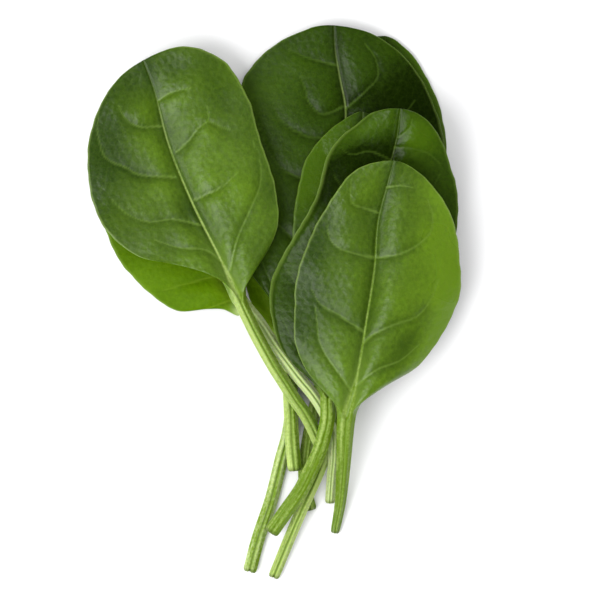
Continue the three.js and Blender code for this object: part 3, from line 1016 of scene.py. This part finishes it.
@dataclass(frozen=True)
class FreshLeaf:
    """Fresh spinach leaf as picked: a soft green sheet under a thin wax coat.

    The wax, grown in fine platelets, gives a satin, slightly grey sheen on the puffed panels,
    while light that enters the thin blade makes it a deeper or a yellower green. Sizes are those
    of a young leaf, but the finest veins, about 0.5 mm apart, and the cells of the skin, about
    0.05 mm wide, are too fine to show: net_mm and grain_mm draw them as coarse as they need.
    """

    name: str
    # Dark, shade and light green: the ends of the painted light and shade on the blade.
    dark: str
    shade: str
    light: str
    vein: str
    stalk: str
    # Darker green of the stalk's flank, partly painted shade on the side away from the light.
    olive_and_shade: str
    # Green in the stalk's groove, partly painted shade in the channel.
    groove: str
    # Colour of the painted highlight along the margin.
    edge_highlight: str
    under: str
    cut: str
    dull_roughness: float = 0.58
    shiny_roughness: float = 0.18
    ior: float = 1.45
    gloss: float = 0.32
    patch_mm: float = 14.0
    patch_share: float = 0.35
    mottle_mm: float = 1.1
    mottle_share: float = 0.55
    least_tone: float = 0.045
    net_mm: float = 1.5
    net_edge: Ramp = (0.02, 0.14)
    net_strength: float = 0.035
    wedge_strength: float = 0.55
    vein_strength: float = 0.45
    rim_strength: float = 0.5
    under_strength: float = 0.6
    cut_strength: float = 0.7
    streak_mm: float = 0.5
    streak_slimness: float = 20.0
    streak_edge: Ramp = (0.36, 0.64)
    streak_depth: float = 0.3
    speck_mm: float = 0.7
    speck_edge: Ramp = (0.35, 0.65)
    speck_depth: float = 0.16
    grain_mm: float = 0.6
    grain_depth_mm: float = 0.09
    grain_strength: float = 0.8
    scatter: float = 0.25
    scatter_mm: float = 0.6
    scatter_reach: tuple[float, float, float] = (0.6, 1.0, 0.15)

    PAINTED = ("tone", "net", "wedge", "vein", "edge_highlight", "stalk", "across", "along", "olive_and_shade",
               "groove", "wax", "under", "cut")

    def material(self) -> bpy.types.Material:
        """Builds the material.

        Returns:
            The material, with its nodes linked.
        """
        material = bpy.data.materials.new(self.name)
        material.use_nodes = True
        tree = material.node_tree
        tree.nodes.clear()
        maps = self._maps(tree)
        color = self._layered(tree, self._blade_color(tree, maps), [
            (maps["stalk"], self._stalk_color(tree, maps), 1.0),
            (maps["under"], linear_color(self.under), self.under_strength),
            (maps["cut"], linear_color(self.cut), self.cut_strength),
        ])
        roughness = add_node(tree, "ShaderNodeMapRange", links={
            "Value": maps["wax"],
            "From Min": 0.0,
            "From Max": MOST_WAX,
            "To Min": self.dull_roughness,
            "To Max": self.shiny_roughness,
        })
        grain = add_node(tree, "ShaderNodeBump", links={
            "Height": maps["grain"],
            "Strength": self.grain_strength,
            "Distance": self.grain_depth_mm * MM,
        })
        shader = add_node(tree, "ShaderNodeBsdfPrincipled", links={
            "Base Color": color,
            "Normal": grain.outputs["Normal"],
            "Roughness": roughness.outputs["Result"],
            "IOR": self.ior,
            "Specular IOR Level": self.gloss,
            "Subsurface Weight": self.scatter,
            "Subsurface Radius": self.scatter_reach,
            "Subsurface Scale": self.scatter_mm * MM,
        })
        add_node(tree, "ShaderNodeOutputMaterial", links={"Surface": shader.outputs["BSDF"]})
        return material

    def _maps(self, tree: bpy.types.NodeTree) -> dict[str, Socket]:
        """What varies over the leaf: its painted values and clouds of several sizes.

        Args:
            tree: Where the nodes go.

        Returns:
            The outputs by name.
        """
        maps = {}
        for name in self.PAINTED:
            node = add_node(tree, "ShaderNodeAttribute", {"attribute_name": name})
            maps[name] = node.outputs["Fac"]
        place = add_node(tree, "ShaderNodeNewGeometry").outputs["Position"]
        clouds = (
            ("patches", self.patch_mm, 2.0),
            ("mottle", self.mottle_mm, 3.0),
            ("specks", self.speck_mm, 2.0),
            ("grain", self.grain_mm, 2.0),
        )
        for name, size, detail in clouds:
            links = {"Vector": place, "Scale": 1 / (size * MM), "Detail": detail}
            maps[name] = add_node(tree, "ShaderNodeTexNoise", links=links).outputs["Fac"]
        links = {"Vector": place, "Scale": 1 / (self.net_mm * MM)}
        cells = add_node(tree, "ShaderNodeTexVoronoi", {"feature": "DISTANCE_TO_EDGE"}, links)
        maps["cell_edge"] = cells.outputs["Distance"]
        return maps

    def _layered(self, tree: bpy.types.NodeTree, color: Any,
                 layers: list[tuple[Socket, Any, float]]) -> Socket:
        """Lays colours over a first one.

        Args:
            tree: Where the nodes go.
            color: The first colour.
            layers: For each, how much it covers at a place, its colour and its strength.

        Returns:
            The mixed colour.
        """
        for cover, over, strength in layers:
            links = {0: cover, 1: strength}
            share = add_node(tree, "ShaderNodeMath", {"operation": "MULTIPLY"}, links)
            links = {0: share.outputs[0], 6: color, 7: over}
            settings = {"data_type": "RGBA", "clamp_factor": True}
            color = add_node(tree, "ShaderNodeMix", settings, links).outputs[2]
        return color

    def _blade_color(self, tree: bpy.types.NodeTree, maps: dict[str, Socket]) -> Socket:
        """Green of the blade with its painted light and shade, mottling, net, veins and painted
        edge highlight.

        Args:
            tree: Where the nodes go.
            maps: What varies over the leaf.

        Returns:
            The colour.
        """
        tone = maps["tone"]
        weights = (("mottle", self.mottle_share, self.least_tone), ("patches", self.patch_share, 0))
        for name, share, least in weights:
            links = {0: maps[name], 1: share, 2: least}
            part = add_node(tree, "ShaderNodeMath", {"operation": "MULTIPLY_ADD"}, links)
            links = {0: part.outputs[0], 1: tone}
            tone = add_node(tree, "ShaderNodeMath", {"operation": "ADD"}, links).outputs[0]
        # Painted light and shade, with the mottling and patches, runs from the dark green through
        # the shade green to the light green.
        halves = []
        for start, end in ((0.0, 0.5), (0.5, 1.0)):
            links = {"Value": tone, "From Min": start, "From Max": end}
            halves.append(add_node(tree, "ShaderNodeMapRange", links=links).outputs["Result"])
        net_start, net_end = self.net_edge
        lines = add_node(tree, "ShaderNodeMapRange", {"interpolation_type": "SMOOTHSTEP"}, {
            "Value": maps["cell_edge"],
            "From Min": net_start,
            "From Max": net_end,
            "To Min": 1.0,
            "To Max": 0.0,
        })
        vein = linear_color(self.vein)
        return self._layered(tree, linear_color(self.dark), [
            (halves[0], linear_color(self.shade), 1.0),
            (halves[1], linear_color(self.light), 1.0),
            (lines.outputs["Result"], vein, self.net_strength),
            (maps["net"], vein, self.net_strength),
            (maps["wedge"], vein, self.wedge_strength),
            (maps["vein"], vein, self.vein_strength),
            (maps["edge_highlight"], linear_color(self.edge_highlight), self.rim_strength),
        ])

    def _stalk_color(self, tree: bpy.types.NodeTree, maps: dict[str, Socket]) -> Socket:
        """Pale green of the stalk and rib with its streaks, specks and groove. Its darker right
        flank and its groove are partly painted shade.

        Args:
            tree: Where the nodes go.
            maps: What varies over the leaf.

        Returns:
            The colour.
        """
        links = {0: maps["along"], 1: 1 / self.streak_slimness}
        slim = add_node(tree, "ShaderNodeMath", {"operation": "MULTIPLY"}, links).outputs[0]
        links = {"X": maps["across"], "Y": slim}
        lengthwise = add_node(tree, "ShaderNodeCombineXYZ", links=links).outputs["Vector"]
        links = {"Vector": lengthwise, "Scale": 0.5 / self.streak_mm, "Detail": 3.0}
        streaks = add_node(tree, "ShaderNodeTexNoise", links=links).outputs["Fac"]
        tone = maps["olive_and_shade"]
        shifts = (
            (streaks, self.streak_edge, self.streak_depth),
            (maps["specks"], self.speck_edge, self.speck_depth),
        )
        for value, (start, end), depth in shifts:
            shift = add_node(tree, "ShaderNodeMapRange", {"interpolation_type": "SMOOTHSTEP"}, {
                "Value": value,
                "From Min": start,
                "From Max": end,
                "To Min": -depth,
                "To Max": depth,
            })
            links = {0: shift.outputs["Result"], 1: tone}
            tone = add_node(tree, "ShaderNodeMath", {"operation": "ADD"}, links).outputs[0]
        return self._layered(tree, linear_color(self.stalk), [
            (tone, linear_color(self.olive_and_shade), 1.0),
            (maps["groove"], linear_color(self.groove), 1.0),
        ])


FINISHES = {
    Green.MID: FreshLeaf(
        name="fresh_spinach_leaf_mid",
        dark="#284004",
        shade="#435e0c",
        light="#5f8016",
        vein="#718e38",
        stalk="#9cb160",
        olive_and_shade="#5f7c14",
        groove="#66851a",
        edge_highlight="#789040",
        under="#4f6830",
        cut="#4a5826",
    ),
    # Painted shade: the deep green stands partly for the shade on the leaves lower in the pile.
    Green.DEEP: FreshLeaf(
        name="fresh_spinach_leaf_deep",
        dark="#122001",
        shade="#294004",
        light="#3c5806",
        vein="#4d6820",
        stalk="#aabf6c",
        olive_and_shade="#5f7c14",
        groove="#5f7e16",
        edge_highlight="#5e762e",
        under="#3f5628",
        cut="#465422",
        gloss=0.18,
        dull_roughness=0.48,
        shiny_roughness=0.14,
    ),
    # Painted light: the bright green stands partly for light that comes through the blade from the
    # white table.
    Green.BRIGHT: FreshLeaf(
        name="fresh_spinach_leaf_bright",
        dark="#3a5702",
        shade="#4f7002",
        light="#64850e",
        vein="#728e20",
        stalk="#bccd8e",
        olive_and_shade="#6a8620",
        groove="#66851a",
        edge_highlight="#768f3a",
        under="#56702e",
        cut="#505f2a",
        gloss=0.03,
    ),
}


BACK_UNDER_LEAF = LeafForm(
    name="back_under_leaf",
    green=Green.DEEP,
    stalk=[
        (9.25, -52.5, 0), (8.1, -48, -0.1), (7.6, -42, -0.2), (8.5, -35, -0.2),
        (10, -27.5, -0.2), (11.75, -20.75, -0.2), (13.5, -13.25, -0.2),
    ],
    rib=[(17.75, 0.5, -0.2), (22.75, 18, -0.2), (26.5, 38, -0.2), (28.5, 55, 0), (28, 67, 0.3)],
    left=[
        (10.5, -4, -0.4), (9.5, 6, -0.6), (9.5, 20, -0.6), (10.5, 36, -0.6),
        (13.5, 52, -0.2), (20, 64, 0.4),
    ],
    right=[
        (22, -4, -0.2), (31, 8, -0.4), (39.5, 22, -0.4), (43.4, 36, -0.2),
        (42, 48, 0.2), (38.2, 57, 0.3), (34, 63, 0.4),
    ],
    stalk_half_widths=(1.6, 1.6),
    flank_olive_and_shade=(0.6, 0.6),
    columns=30,
    stalk_rows=50,
    blade_rows=110,
    # The spot makes the sliver of blade at the upper right lighter.
    spots=(Spot(40, 50, 12, 50, 16, tone=0.6),),
    detail=0.3,
)

BURIED_LEAF = LeafForm(
    name="buried_leaf",
    green=Green.BRIGHT,
    stalk=[
        (-6.25, -68, 0), (-4, -59.5, -0.2), (-0.65, -49.5, -0.2), (1.85, -39.5, -0.2),
        (3.5, -33.5, -0.2), (4.25, -28.25, -0.2), (4.25, -22.5, -0.2), (3.5, -16.5, -0.2),
        (2, -11.5, -0.2),
    ],
    rib=[(0.5, -5, -0.2), (-0.5, 4, -0.2), (-1, 14, -0.1), (-1, 26, 0)],
    left=[
        (-2, -6, -0.2), (-5, -2, -0.4), (-7.5, 6, -0.4), (-7.75, 14, -0.2),
        (-5.5, 22.5, 0),
    ],
    right=[
        (5, -6, -0.2), (6.5, 0, -0.4), (7, 8, -0.4), (6, 17, -0.2), (3, 24, 0),
    ],
    stalk_half_widths=(1.7, 1.7),
    groove=0.7,
    flank_olive_and_shade=(0.55, 0.7),
    columns=24,
    stalk_rows=120,
    blade_rows=80,
    detail=0.3,
    split_end=0.7,
)

LEFT_UNDER_LEAF = LeafForm(
    name="left_under_leaf",
    green=Green.BRIGHT,
    stalk=[
        (14, -50.75, 0), (14.4, -44.5, 2.2), (14.9, -38.25, 4.4), (14.6, -32.5, 5.3),
        (12, -26.75, 5.6), (9.75, -23.25, 6.1), (6.25, -19, 6.6), (3, -14.75, 6.8),
        (-0.75, -9.75, 5.4), (-4, -5, 4), (-6.75, -1.75, 2.6),
    ],
    rib=[
        (-12.25, 5, 1.6), (-19.75, 15.5, 0.3), (-27.25, 28, -0.1), (-31.75, 40.5, -0.1),
        (-34, 49.25, 0),
    ],
    left=[
        (-9, -3.5, 3.2), (-12.75, -1.9, 3), (-16.75, -1.8, 2.6), (-24.5, -2.2, 1.8),
        (-30.75, 1.75, 1), (-38.5, 9.75, 0.2), (-42.25, 17.5, -0.2), (-44.25, 25.5, -0.4),
        (-44, 34.25, -0.4), (-40.5, 44.25, -0.2),
    ],
    right=[
        (-8.5, 4.25, 2.5), (-9.5, 10, 1.5), (-10.5, 18, 0.5),
        (-14, 30.5, 0.2), (-19.75, 42.25, 0.2), (-28, 48.75, 0.1),
    ],
    stalk_half_widths=(1.2, 1.75),
    arch=(0.4, 0),
    swell=0.8,
    waves=3,
    flank_olive_and_shade=(-0.1, 0.1),
    columns=44,
    stalk_rows=110,
    blade_rows=170,
)

BACK_LEAF = LeafForm(
    name="back_leaf",
    green=Green.DEEP,
    stalk=[
        (5.25, -42.5, 2.3), (4.6, -35.75, 3.4), (4.25, -28.25, 3.4), (4, -22.5, 3.4),
        (3.75, -15.75, 3.3), (3.5, -8.25, 3.3),
    ],
    rib=[
        (6.5, 3, 2.8), (12, 18, 2.2), (16, 33, 2), (18, 47.5, 2), (16.5, 56.5, 2.2),
        (15.4, 63, 2.8), (15, 69.5, 3.8),
    ],
    left=[
        (-1.25, 1.25, 3.4), (-6, 7.5, 3), (-9, 16.75, 2.8),
        (-10.5, 28, 2.6), (-10.5, 40.5, 2.6), (-8, 55.5, 2.8), (-6, 58.75, 2.9),
        (-2.25, 62.75, 3), (2, 65.75, 3.2), (6.25, 67.75, 3.5), (10.5, 69.25, 3.6),
    ],
    right=[
        (15.25, -0.75, 3.4), (27.75, 6.75, 3), (37.75, 15.5, 2.8),
        (42, 25.5, 2.6), (42.8, 39.25, 2.4), (40, 50, 2.4), (36.3, 57.25, 2.4), (32.2, 62.2, 2.6),
        (27.8, 65.6, 2.8), (23.2, 68, 3.2),
    ],
    stalk_half_widths=(1.8, 1.8),
    arch=(0.2, 1),
    swell=0.9,
    waves=5,
    veins=[
        [(4.5, -4), (0.5, 2.5), (-3, 10), (-5, 18)],
        [(9.5, 11), (3.5, 17), (-2, 23), (-5.5, 31)],
        [(15.5, 30.5), (9, 30.5), (2.75, 33), (-1.5, 38), (-4, 45)],
        [(17.5, 40.5), (11.5, 41), (5.25, 43), (1, 46.75), (-0.5, 51)],
        [(17.75, 49.25), (12, 47.25), (8.5, 50.5), (7.75, 53.75), (6.5, 56.75)],
        [(15.75, 59.5), (13.5, 60), (8, 61.5), (3.5, 63.5)],
        [(7.5, 5), (15, 8), (23, 12.5), (30, 20)],
        [(14, 24), (22, 26.5), (30, 30.5), (36, 37)],
        [(17.25, 38), (25.25, 41.75), (31.5, 45.5), (35.25, 50.5)],
        [(18, 48.5), (23.5, 53.5), (26, 56.5), (25.5, 61), (22.75, 65)],
    ],
    # The spots paint light and shade: painted shade on the right and upper parts of the blade,
    # painted light on its left part.
    spots=(
        Spot(38, 48, 18, 46, 16, tone=-0.45, wax=0.6),
        Spot(27, 50, 22, 12, 10, tone=-0.45, wax=0.5),
        Spot(-3, 26, 12, 30, 0, tone=0.3, wax=-0.7),
        Spot(-2, 54, 16, 24, -30, tone=0.2, wax=-0.7),
    ),
    groove=0.6,
    flank_olive_and_shade=(0.1, 0.8),
    columns=60,
    stalk_rows=60,
    blade_rows=240,
)

RIGHT_INNER_LEAF = LeafForm(
    name="right_inner_leaf",
    green=Green.DEEP,
    stalk=[
        (-0.25, -69.5, 0), (4.25, -58.5, 1.8), (7.75, -50.25, 3.3), (11, -43, 2.5),
        (14.25, -34.5, 0.3), (16, -28.25, 0.9), (17, -21.5, 2.4),
    ],
    rib=[
        (19, -9.5, 4.9), (20.75, 3, 6.3), (21.75, 18, 6.8), (21.75, 33, 6.6), (22.25, 47.6, 7.5),
    ],
    left=[
        (15.25, -20.75, 3), (12, -13.25, 5.4), (7.75, -3.25, 7.2), (5.25, 6.75, 7),
        (4.6, 17, 6.8), (5.65, 26.5, 6.5), (7.9, 35.5, 6.5), (13.25, 42.5, 7), (20, 47.1, 7.5),
    ],
    right=[
        (25.25, -10.75, 4.8), (32.75, 3, 5.2), (36, 18, 6),
        (34.5, 31.75, 6.6), (29.5, 43, 7.2),
    ],
    stalk_half_widths=(1.4, 1.7),
    arch=(0, 0.3),
    swell=0.3,
    waves=2,
    # The spot paints light on the blade's upper left.
    spots=(
        Spot(9, 36, 14, 26, -24, tone=0.9, wax=0.6),
    ),
    groove=0.7,
    flank_olive_and_shade=(0.15, 0.2),
    columns=40,
    stalk_rows=110,
    blade_rows=170,
    split_end=0.5,
)

LEFT_TOP_LEAF = LeafForm(
    name="left_top_leaf",
    green=Green.MID,
    stalk=[
        (11.5, -35.75, 4.3), (9.5, -31.25, 5.1), (7.4, -27.5, 6.1), (5.25, -24.5, 7),
        (2.75, -20.5, 7.8), (-0.4, -15.5, 8.5), (-4, -9, 8.7), (-6, -5, 8.6),
        (-8.25, -0.25, 8.4),
    ],
    rib=[
        (-13, 10, 7.5), (-21, 26, 6.6), (-26.5, 39.75, 6.2), (-30, 53, 6.6), (-32.75, 60.5, 8),
    ],
    left=[
        (-10.5, 0, 9), (-14.5, 7.5, 9), (-19.5, 10.25, 8.8), (-28, 10, 9.2), (-35.5, 12.25, 9),
        (-43, 19.5, 8.8), (-46.5, 31, 8.6), (-45.5, 44, 8.6), (-40, 54.75, 8.4),
    ],
    right=[
        (-6.5, 6.5, 9.8), (-2.5, 11.25, 10), (1, 19.5, 9.8), (0.25, 29, 9.4),
        (-3.5, 41, 9), (-6.5, 51, 8.6), (-12.5, 60.25, 8.2), (-22.5, 64, 8.2),
    ],
    stalk_half_widths=(1.65, 1.65),
    arch=(-0.5, 0.6),
    swell=1.6,
    waves=5,
    veins=[
        [(-13, 10), (-17.25, 13), (-23.5, 13.5), (-29.75, 15.5)],
        [(-18.5, 19.25), (-26, 20.75), (-31, 20), (-36.75, 22), (-40.5, 25.5)],
        [
            (-24.75, 31.25), (-34.25, 32), (-36.75, 33.5), (-40.5, 35), (-42.5, 36.5),
            (-43.5, 39.25), (-44.25, 43.5), (-43.75, 47.5),
        ],
        [(-28.25, 44), (-34.25, 44), (-37.25, 46), (-39, 49.25)],
        [(-11, 8), (-9.25, 15.5), (-6, 23), (-3.5, 29.25), (-3.5, 35.5), (-5.5, 40.5)],
        [(-20, 25.5), (-17.75, 26.5), (-13.5, 28.5), (-9, 32.5)],
        [(-24.5, 37.5), (-21.25, 40.5), (-18.75, 43.75), (-16.5, 45.25), (-16.75, 48.75)],
        [(-16.5, 45.25), (-13, 43.75), (-10.25, 42.75)],
        [(-29, 50.5), (-25.5, 52.5), (-21, 53.5)],
    ],
    # The spots paint light and shade: painted shade on the blade's left edge, its top and its small
    # dips, painted light on its middle and near its base, and a painted highlight band near the
    # top.
    spots=(
        Spot(-45, 34, 18, 56, -6, tone=-0.7),
        Spot(-21, 26, 30, 44, 24, tone=0.22),
        Spot(-10, 6, 11, 14, 20, tone=0.2),
        Spot(-2, 36, 9, 44, 6, tone=-0.12),
        Spot(-24, 60, 26, 12, 0, tone=-0.25),
        Spot(-21.5, 54, 7, 15, -56, tone=0.1, rise=0.6, wax=0.2),
        Spot(-14, 52.5, 10, 13, 0, tone=-0.25, wax=0.4),
        Spot(-22.5, 23.5, 4, 7, 30, tone=-0.3, rise=-0.3),
        Spot(-14, 22, 12, 18, 20, tone=-0.12),
    ),
    detail=1.3,
    flank_olive_and_shade=(0.1, 0.9),
    columns=64,
    stalk_rows=80,
    blade_rows=230,
)

RIGHT_FOLDED_LEAF = LeafForm(
    name="right_folded_leaf",
    green=Green.DEEP,
    stalk=[
        (-0.9, -58, 3.6), (2.75, -52.75, 5.4), (6.75, -47, 6.6), (9.25, -42, 7.2),
        (11.25, -37.5, 7.6), (12.5, -33.5, 8.6), (13.4, -29, 9.2), (13.5, -24, 9.6),
    ],
    rib=[
        (15, -15.75, 9.8), (18.5, -2, 9.6), (22.75, 13, 9.4), (27, 28, 10.6),
        (30.25, 39.25, 13), (31.5, 48.1, 16),
    ],
    left=[
        (10.25, -21, 10.3), (8.25, -18.5, 10.2), (5.5, -16.25, 10.2),
        (1.75, -11.5, 10.2), (-0.25, -5.75, 9.8), (-1.1, 0.75, 9.4), (-0.25, 6.75, 9.4),
        (2.25, 11.75, 10), (6.5, 19, 11.5), (9.25, 23.75, 13), (11.5, 29.75, 14.5),
        (12.5, 34, 15), (14, 37.75, 15.2), (16.5, 41, 15.2), (20, 43.75, 15.2),
        (24.5, 47.1, 15.5),
    ],
    right=[
        (17.75, -17.5, 10.2), (26.5, -9.5, 8.6), (37.75, 0.5, 7.2),
        (43.5, 10, 6.6), (45.8, 19, 7), (46, 27, 8.2), (44.3, 33.25, 10.5), (41.5, 40.75, 13),
        (37.5, 45.8, 15.2),
    ],
    stalk_half_widths=(1.9, 1.9),
    arch=(0.2, 0.5),
    swell=0.9,
    waves=4,
    veins=[
        [(14.5, -19), (9.5, -15), (5, -10), (2, -4)],
        [(17, -8), (11.5, -3), (6.5, 3), (3.5, 8)],
        [(21, 7.5), (15, 11), (10.5, 16.5)],
        [(25.5, 23.5), (19, 26), (15, 31.5)],
        [(29, 35.5), (24, 37.5), (19, 36.75), (16.5, 38.5)],
        [(15, -16), (22, -9), (31, -2), (38, 6)],
        [(18.5, -2), (27, 4), (35, 10.5), (41, 20)],
        [(23.5, 15.5), (31, 19.5), (37.5, 25), (41.5, 32)],
        [(31, 41), (33.5, 43), (34.5, 45.5)],
        [(30, 38.5), (34, 38.3), (38.5, 37), (41.5, 34.5)],
    ],
    # The spots paint light and shade: a painted highlight on the raised patch at the upper right, a
    # lit band, and painted shadow along the margin of the leaf lying above.
    spots=(
        Spot(35.5, 41.5, 9, 8, 30, tone=0.9, rise=1.0, wax=0.3),
        Spot(22, 42.5, 18, 8, 24, tone=0.55),
        Spot(22, 36.5, 21, 8, 24, tone=-0.75, wax=0.6),
        Spot(13, 28, 6, 16, -30, tone=-0.5),
        Spot(41, 30, 9, 16, 20, tone=0.15),
    ),
    groove=0.3,
    flank_olive_and_shade=(0.8, 1.05),
    columns=60,
    stalk_rows=90,
    blade_rows=230,
    lips=(Lip(Side.LEFT, 0.1, 0.95, 0.7),),
)

RIGHT_TOP_LEAF = LeafForm(
    name="right_top_leaf",
    green=Green.MID,
    stalk=[
        (15.25, -58.25, 0.3), (16.6, -50.75, 2), (17.15, -44.5, 4.2), (17.5, -38.25, 6.6),
        (17.75, -33, 8.7), (18, -29.5, 10.1),
    ],
    rib=[
        (18.5, -27, 11.1), (19.6, -23, 12.1), (20.9, -17.5, 12.8), (23, -5, 13.4),
        (25, 8, 13.9), (25.9, 20, 14.4), (28.3, 29.5, 16.2), (29.75, 35.1, 18.8),
    ],
    left=[
        (15.6, -27, 12.2), (14.25, -24, 13.3), (11, -20.75, 13.3), (7.5, -16, 13.6),
        (5.3, -10.2, 14.2), (5.1, -0.75, 14.8), (5.5, 5.5, 15.2), (9.5, 17.25, 16.4),
        (12, 21.75, 17.2), (14.9, 26.5, 17.8), (19.25, 32, 18.4), (23.75, 34.25, 18.8),
    ],
    right=[
        (20.9, -27, 12.4), (23.2, -23.5, 13), (26.5, -21.3, 12.6), (30, -19.65, 11.8),
        (35.25, -16.65, 10.8), (39.5, -11.9, 9.4), (43.8, -5, 8.4), (46.4, 1.5, 8.4),
        (46.6, 8.75, 9.2), (45.1, 19.1, 11.2), (42.1, 25.5, 13), (37.75, 30.75, 15.6),
        (33, 34.1, 18),
    ],
    stalk_half_widths=(1.1, 2.3),
    arch=(-0.5, 2),
    swell=1.6,
    waves=4,
    veins=[
        [(19, -22), (16.5, -18.25), (13.25, -13.75), (11.25, -9.5), (10.75, -5), (10.25, -0.75)],
        [(22, -7.25), (16.5, -3.5), (11.5, -0.5), (9.5, 3)],
        [(25, 11), (19.5, 12.25), (16.5, 13.25), (14, 15.5), (13.25, 19)],
        [(25.75, 22.25), (22.75, 23.25), (19.5, 24.5), (19, 26.75), (19.25, 30.5)],
        [(20.25, -21.25), (25.25, -17), (31.5, -14.5), (36, -10.75)],
        [(22.5, -10), (24.5, -8.25), (29.5, -5.75), (35.75, -3.5), (39, 0.5), (41, 5.5)],
        [(25.75, 11), (31.5, 12), (36.5, 14.75), (39, 17.5), (39.5, 21.75), (38.25, 25.5)],
        [(28, 28.5), (31.5, 28.9), (34.5, 28.4)],
    ],
    # The spots paint light and shade: painted shade on the blade's left part and its dips, painted
    # light on its middle and on the bright band along the right margin, where light comes through
    # the blade from the table.
    spots=(
        Spot(5, 0, 14, 46, -4, tone=-0.55),
        Spot(45, 10, 17, 44, 4, tone=0.6, wax=0.7),
        Spot(40, -9, 12, 22, -36, tone=0.45),
        Spot(41, 26, 9, 14, 32, tone=0.3),
        Spot(15, -12, 16, 22, 10, tone=0.2),
        Spot(17.5, 23, 9, 14, 0, rise=0.7, wax=0.1),
        Spot(8.5, 19, 9, 26, -28, tone=-0.35),
        Spot(34, 21, 12, 15, 0, rise=0.7),
        Spot(10, 4, 12, 26, 0, tone=-0.15),
        Spot(33.5, -10, 5, 13, -37, tone=-0.45, rise=-0.4, wax=0.4),
        Spot(28, 0, 22, 40, 0, tone=0.1),
    ),
    detail=1.3,
    groove=0.3,
    flank_olive_and_shade=(0.75, 1.05),
    columns=64,
    stalk_rows=80,
    blade_rows=230,
)


@dataclass
class Bunch:
    """The eight leaves from the table up."""

    forms: tuple[LeafForm, ...] = (
        BACK_UNDER_LEAF, BURIED_LEAF, LEFT_UNDER_LEAF, BACK_LEAF,
        RIGHT_INNER_LEAF, LEFT_TOP_LEAF, RIGHT_FOLDED_LEAF, RIGHT_TOP_LEAF,
    )
    allowance_mm: float = 0.3
    materials: dict[Green, bpy.types.Material] = field(default_factory=dict)

    def build(self) -> None:
        """Builds and dresses every leaf in place of its solid."""
        for green, finish in FINISHES.items():
            self.materials[green] = finish.material()
        for index, form in enumerate(self.forms):
            leaf = LeafSkin(form, index).build()
            leaf.data.materials.append(self.materials[form.green])
            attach(leaf, "root")
            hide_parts(form.name)
            self._report(leaf, form)

    def _report(self, leaf: bpy.types.Object, form: LeafForm) -> None:
        """Logs a leaf's faces and how far it stands out of its solid's box.

        Args:
            leaf: The leaf's object.
            form: Its form.
        """
        low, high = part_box(form.name)
        points = np.array([vertex.co for vertex in leaf.data.vertices])
        over = max((np.array(low) - points.min(0)).max(), (points.max(0) - np.array(high)).max())
        LOG.info("%s: %d faces, %.2f mm out of its box", form.name, len(leaf.data.polygons),
                 over / MM)
        if over / MM > self.allowance_mm:
            LOG.warning("%s stands out of its solid by %.2f mm", form.name, over / MM)


@dataclass(frozen=True)
class Studio:
    """Pale table, soft light and the camera straight above the bunch."""

    view_centre: tuple[float, float] = (6.5, 0.5)
    view_width: float = 150.0
    view_height: float = 10.0
    camera_height: float = 1200.0
    sensor: float = 36.0
    table: float = 4000.0
    table_white: str = "#f4f4f5"
    table_roughness: float = 0.9
    table_gloss: float = 0.1
    key_from: tuple[float, float, float] = (-0.53, -0.33, 0.78)
    key_distance: float = 1100.0
    key_size: float = 850.0
    key_power: float = 13.0
    fill_from: tuple[float, float, float] = (0.15, 0.35, 0.92)
    fill_distance: float = 1500.0
    fill_size: float = 1400.0
    fill_power: float = 8.5
    sky: float = 0.6

    def build(self) -> None:
        """Sets up the table, the light and the camera."""
        bpy.context.scene.view_settings.view_transform = "Standard"
        self._table()
        self._lamp("key_softbox", self.key_from, self.key_distance, self.key_size, self.key_power)
        fill = self._lamp("fill_softbox", self.fill_from, self.fill_distance, self.fill_size,
                          self.fill_power)
        fill.visible_glossy = False
        self._sky()
        self._camera()
        LOG.info("studio: table, two softboxes, sky and camera")

    def _table(self) -> None:
        """Lays the table: pressed laminate, whose matt face scatters light and hardly shines."""
        bpy.ops.mesh.primitive_plane_add(size=self.table * MM, location=(0, 0, 0))
        table = bpy.context.object
        table.name = "table"
        material = bpy.data.materials.new("matt_white_laminate")
        material.use_nodes = True
        shader = material.node_tree.nodes["Principled BSDF"]
        shader.inputs["Base Color"].default_value = linear_color(self.table_white)
        shader.inputs["Roughness"].default_value = self.table_roughness
        shader.inputs["Specular IOR Level"].default_value = self.table_gloss
        table.data.materials.append(material)

    def _lamp(self, name: str, towards: tuple[float, float, float], distance: float,
              size: float, power: float) -> bpy.types.Object:
        """Hangs a square softbox that faces the bunch.

        Args:
            name: The lamp's name.
            towards: Direction of the lamp from the bunch.
            distance: How far away it hangs, in millimetres.
            size: Its side, in millimetres.
            power: Its power in watts.

        Returns:
            The lamp.
        """
        light = bpy.data.lights.new(name, "AREA")
        light.shape = "SQUARE"
        light.size = size * MM
        light.energy = power
        lamp = bpy.data.objects.new(name, light)
        direction = Vector(towards).normalized()
        centre = Vector((*self.view_centre, 0)) * MM
        lamp.location = centre + direction * distance * MM
        lamp.rotation_euler = direction.to_track_quat("Z", "Y").to_euler()
        bpy.context.scene.collection.objects.link(lamp)
        return lamp

    def _sky(self) -> None:
        """Fills the room with even, weak light."""
        world = bpy.data.worlds.new("room")
        bpy.context.scene.world = world
        world.use_nodes = True
        background = world.node_tree.nodes["Background"]
        background.inputs["Color"].default_value = (1, 1, 1, 1)
        background.inputs["Strength"].default_value = self.sky
        world.cycles_visibility.glossy = False

    def _camera(self) -> None:
        """Hangs the camera straight above, with the blades towards the picture's top."""
        data = bpy.data.cameras.new("overhead_camera")
        data.sensor_width = self.sensor
        data.lens = self.sensor * (self.camera_height - self.view_height) / self.view_width
        data.clip_start = 0.1
        data.clip_end = 20
        camera = bpy.data.objects.new("overhead_camera", data)
        camera.location = Vector((*self.view_centre, self.camera_height)) * MM
        bpy.context.scene.collection.objects.link(camera)
        bpy.context.scene.camera = camera


def main() -> None:
    """Builds the bunch and its studio."""
    logging.basicConfig(level=logging.INFO, format="%(name)s: %(message)s")
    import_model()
    Bunch().build()
    Studio().build()


if __name__ == "__main__":
    main()
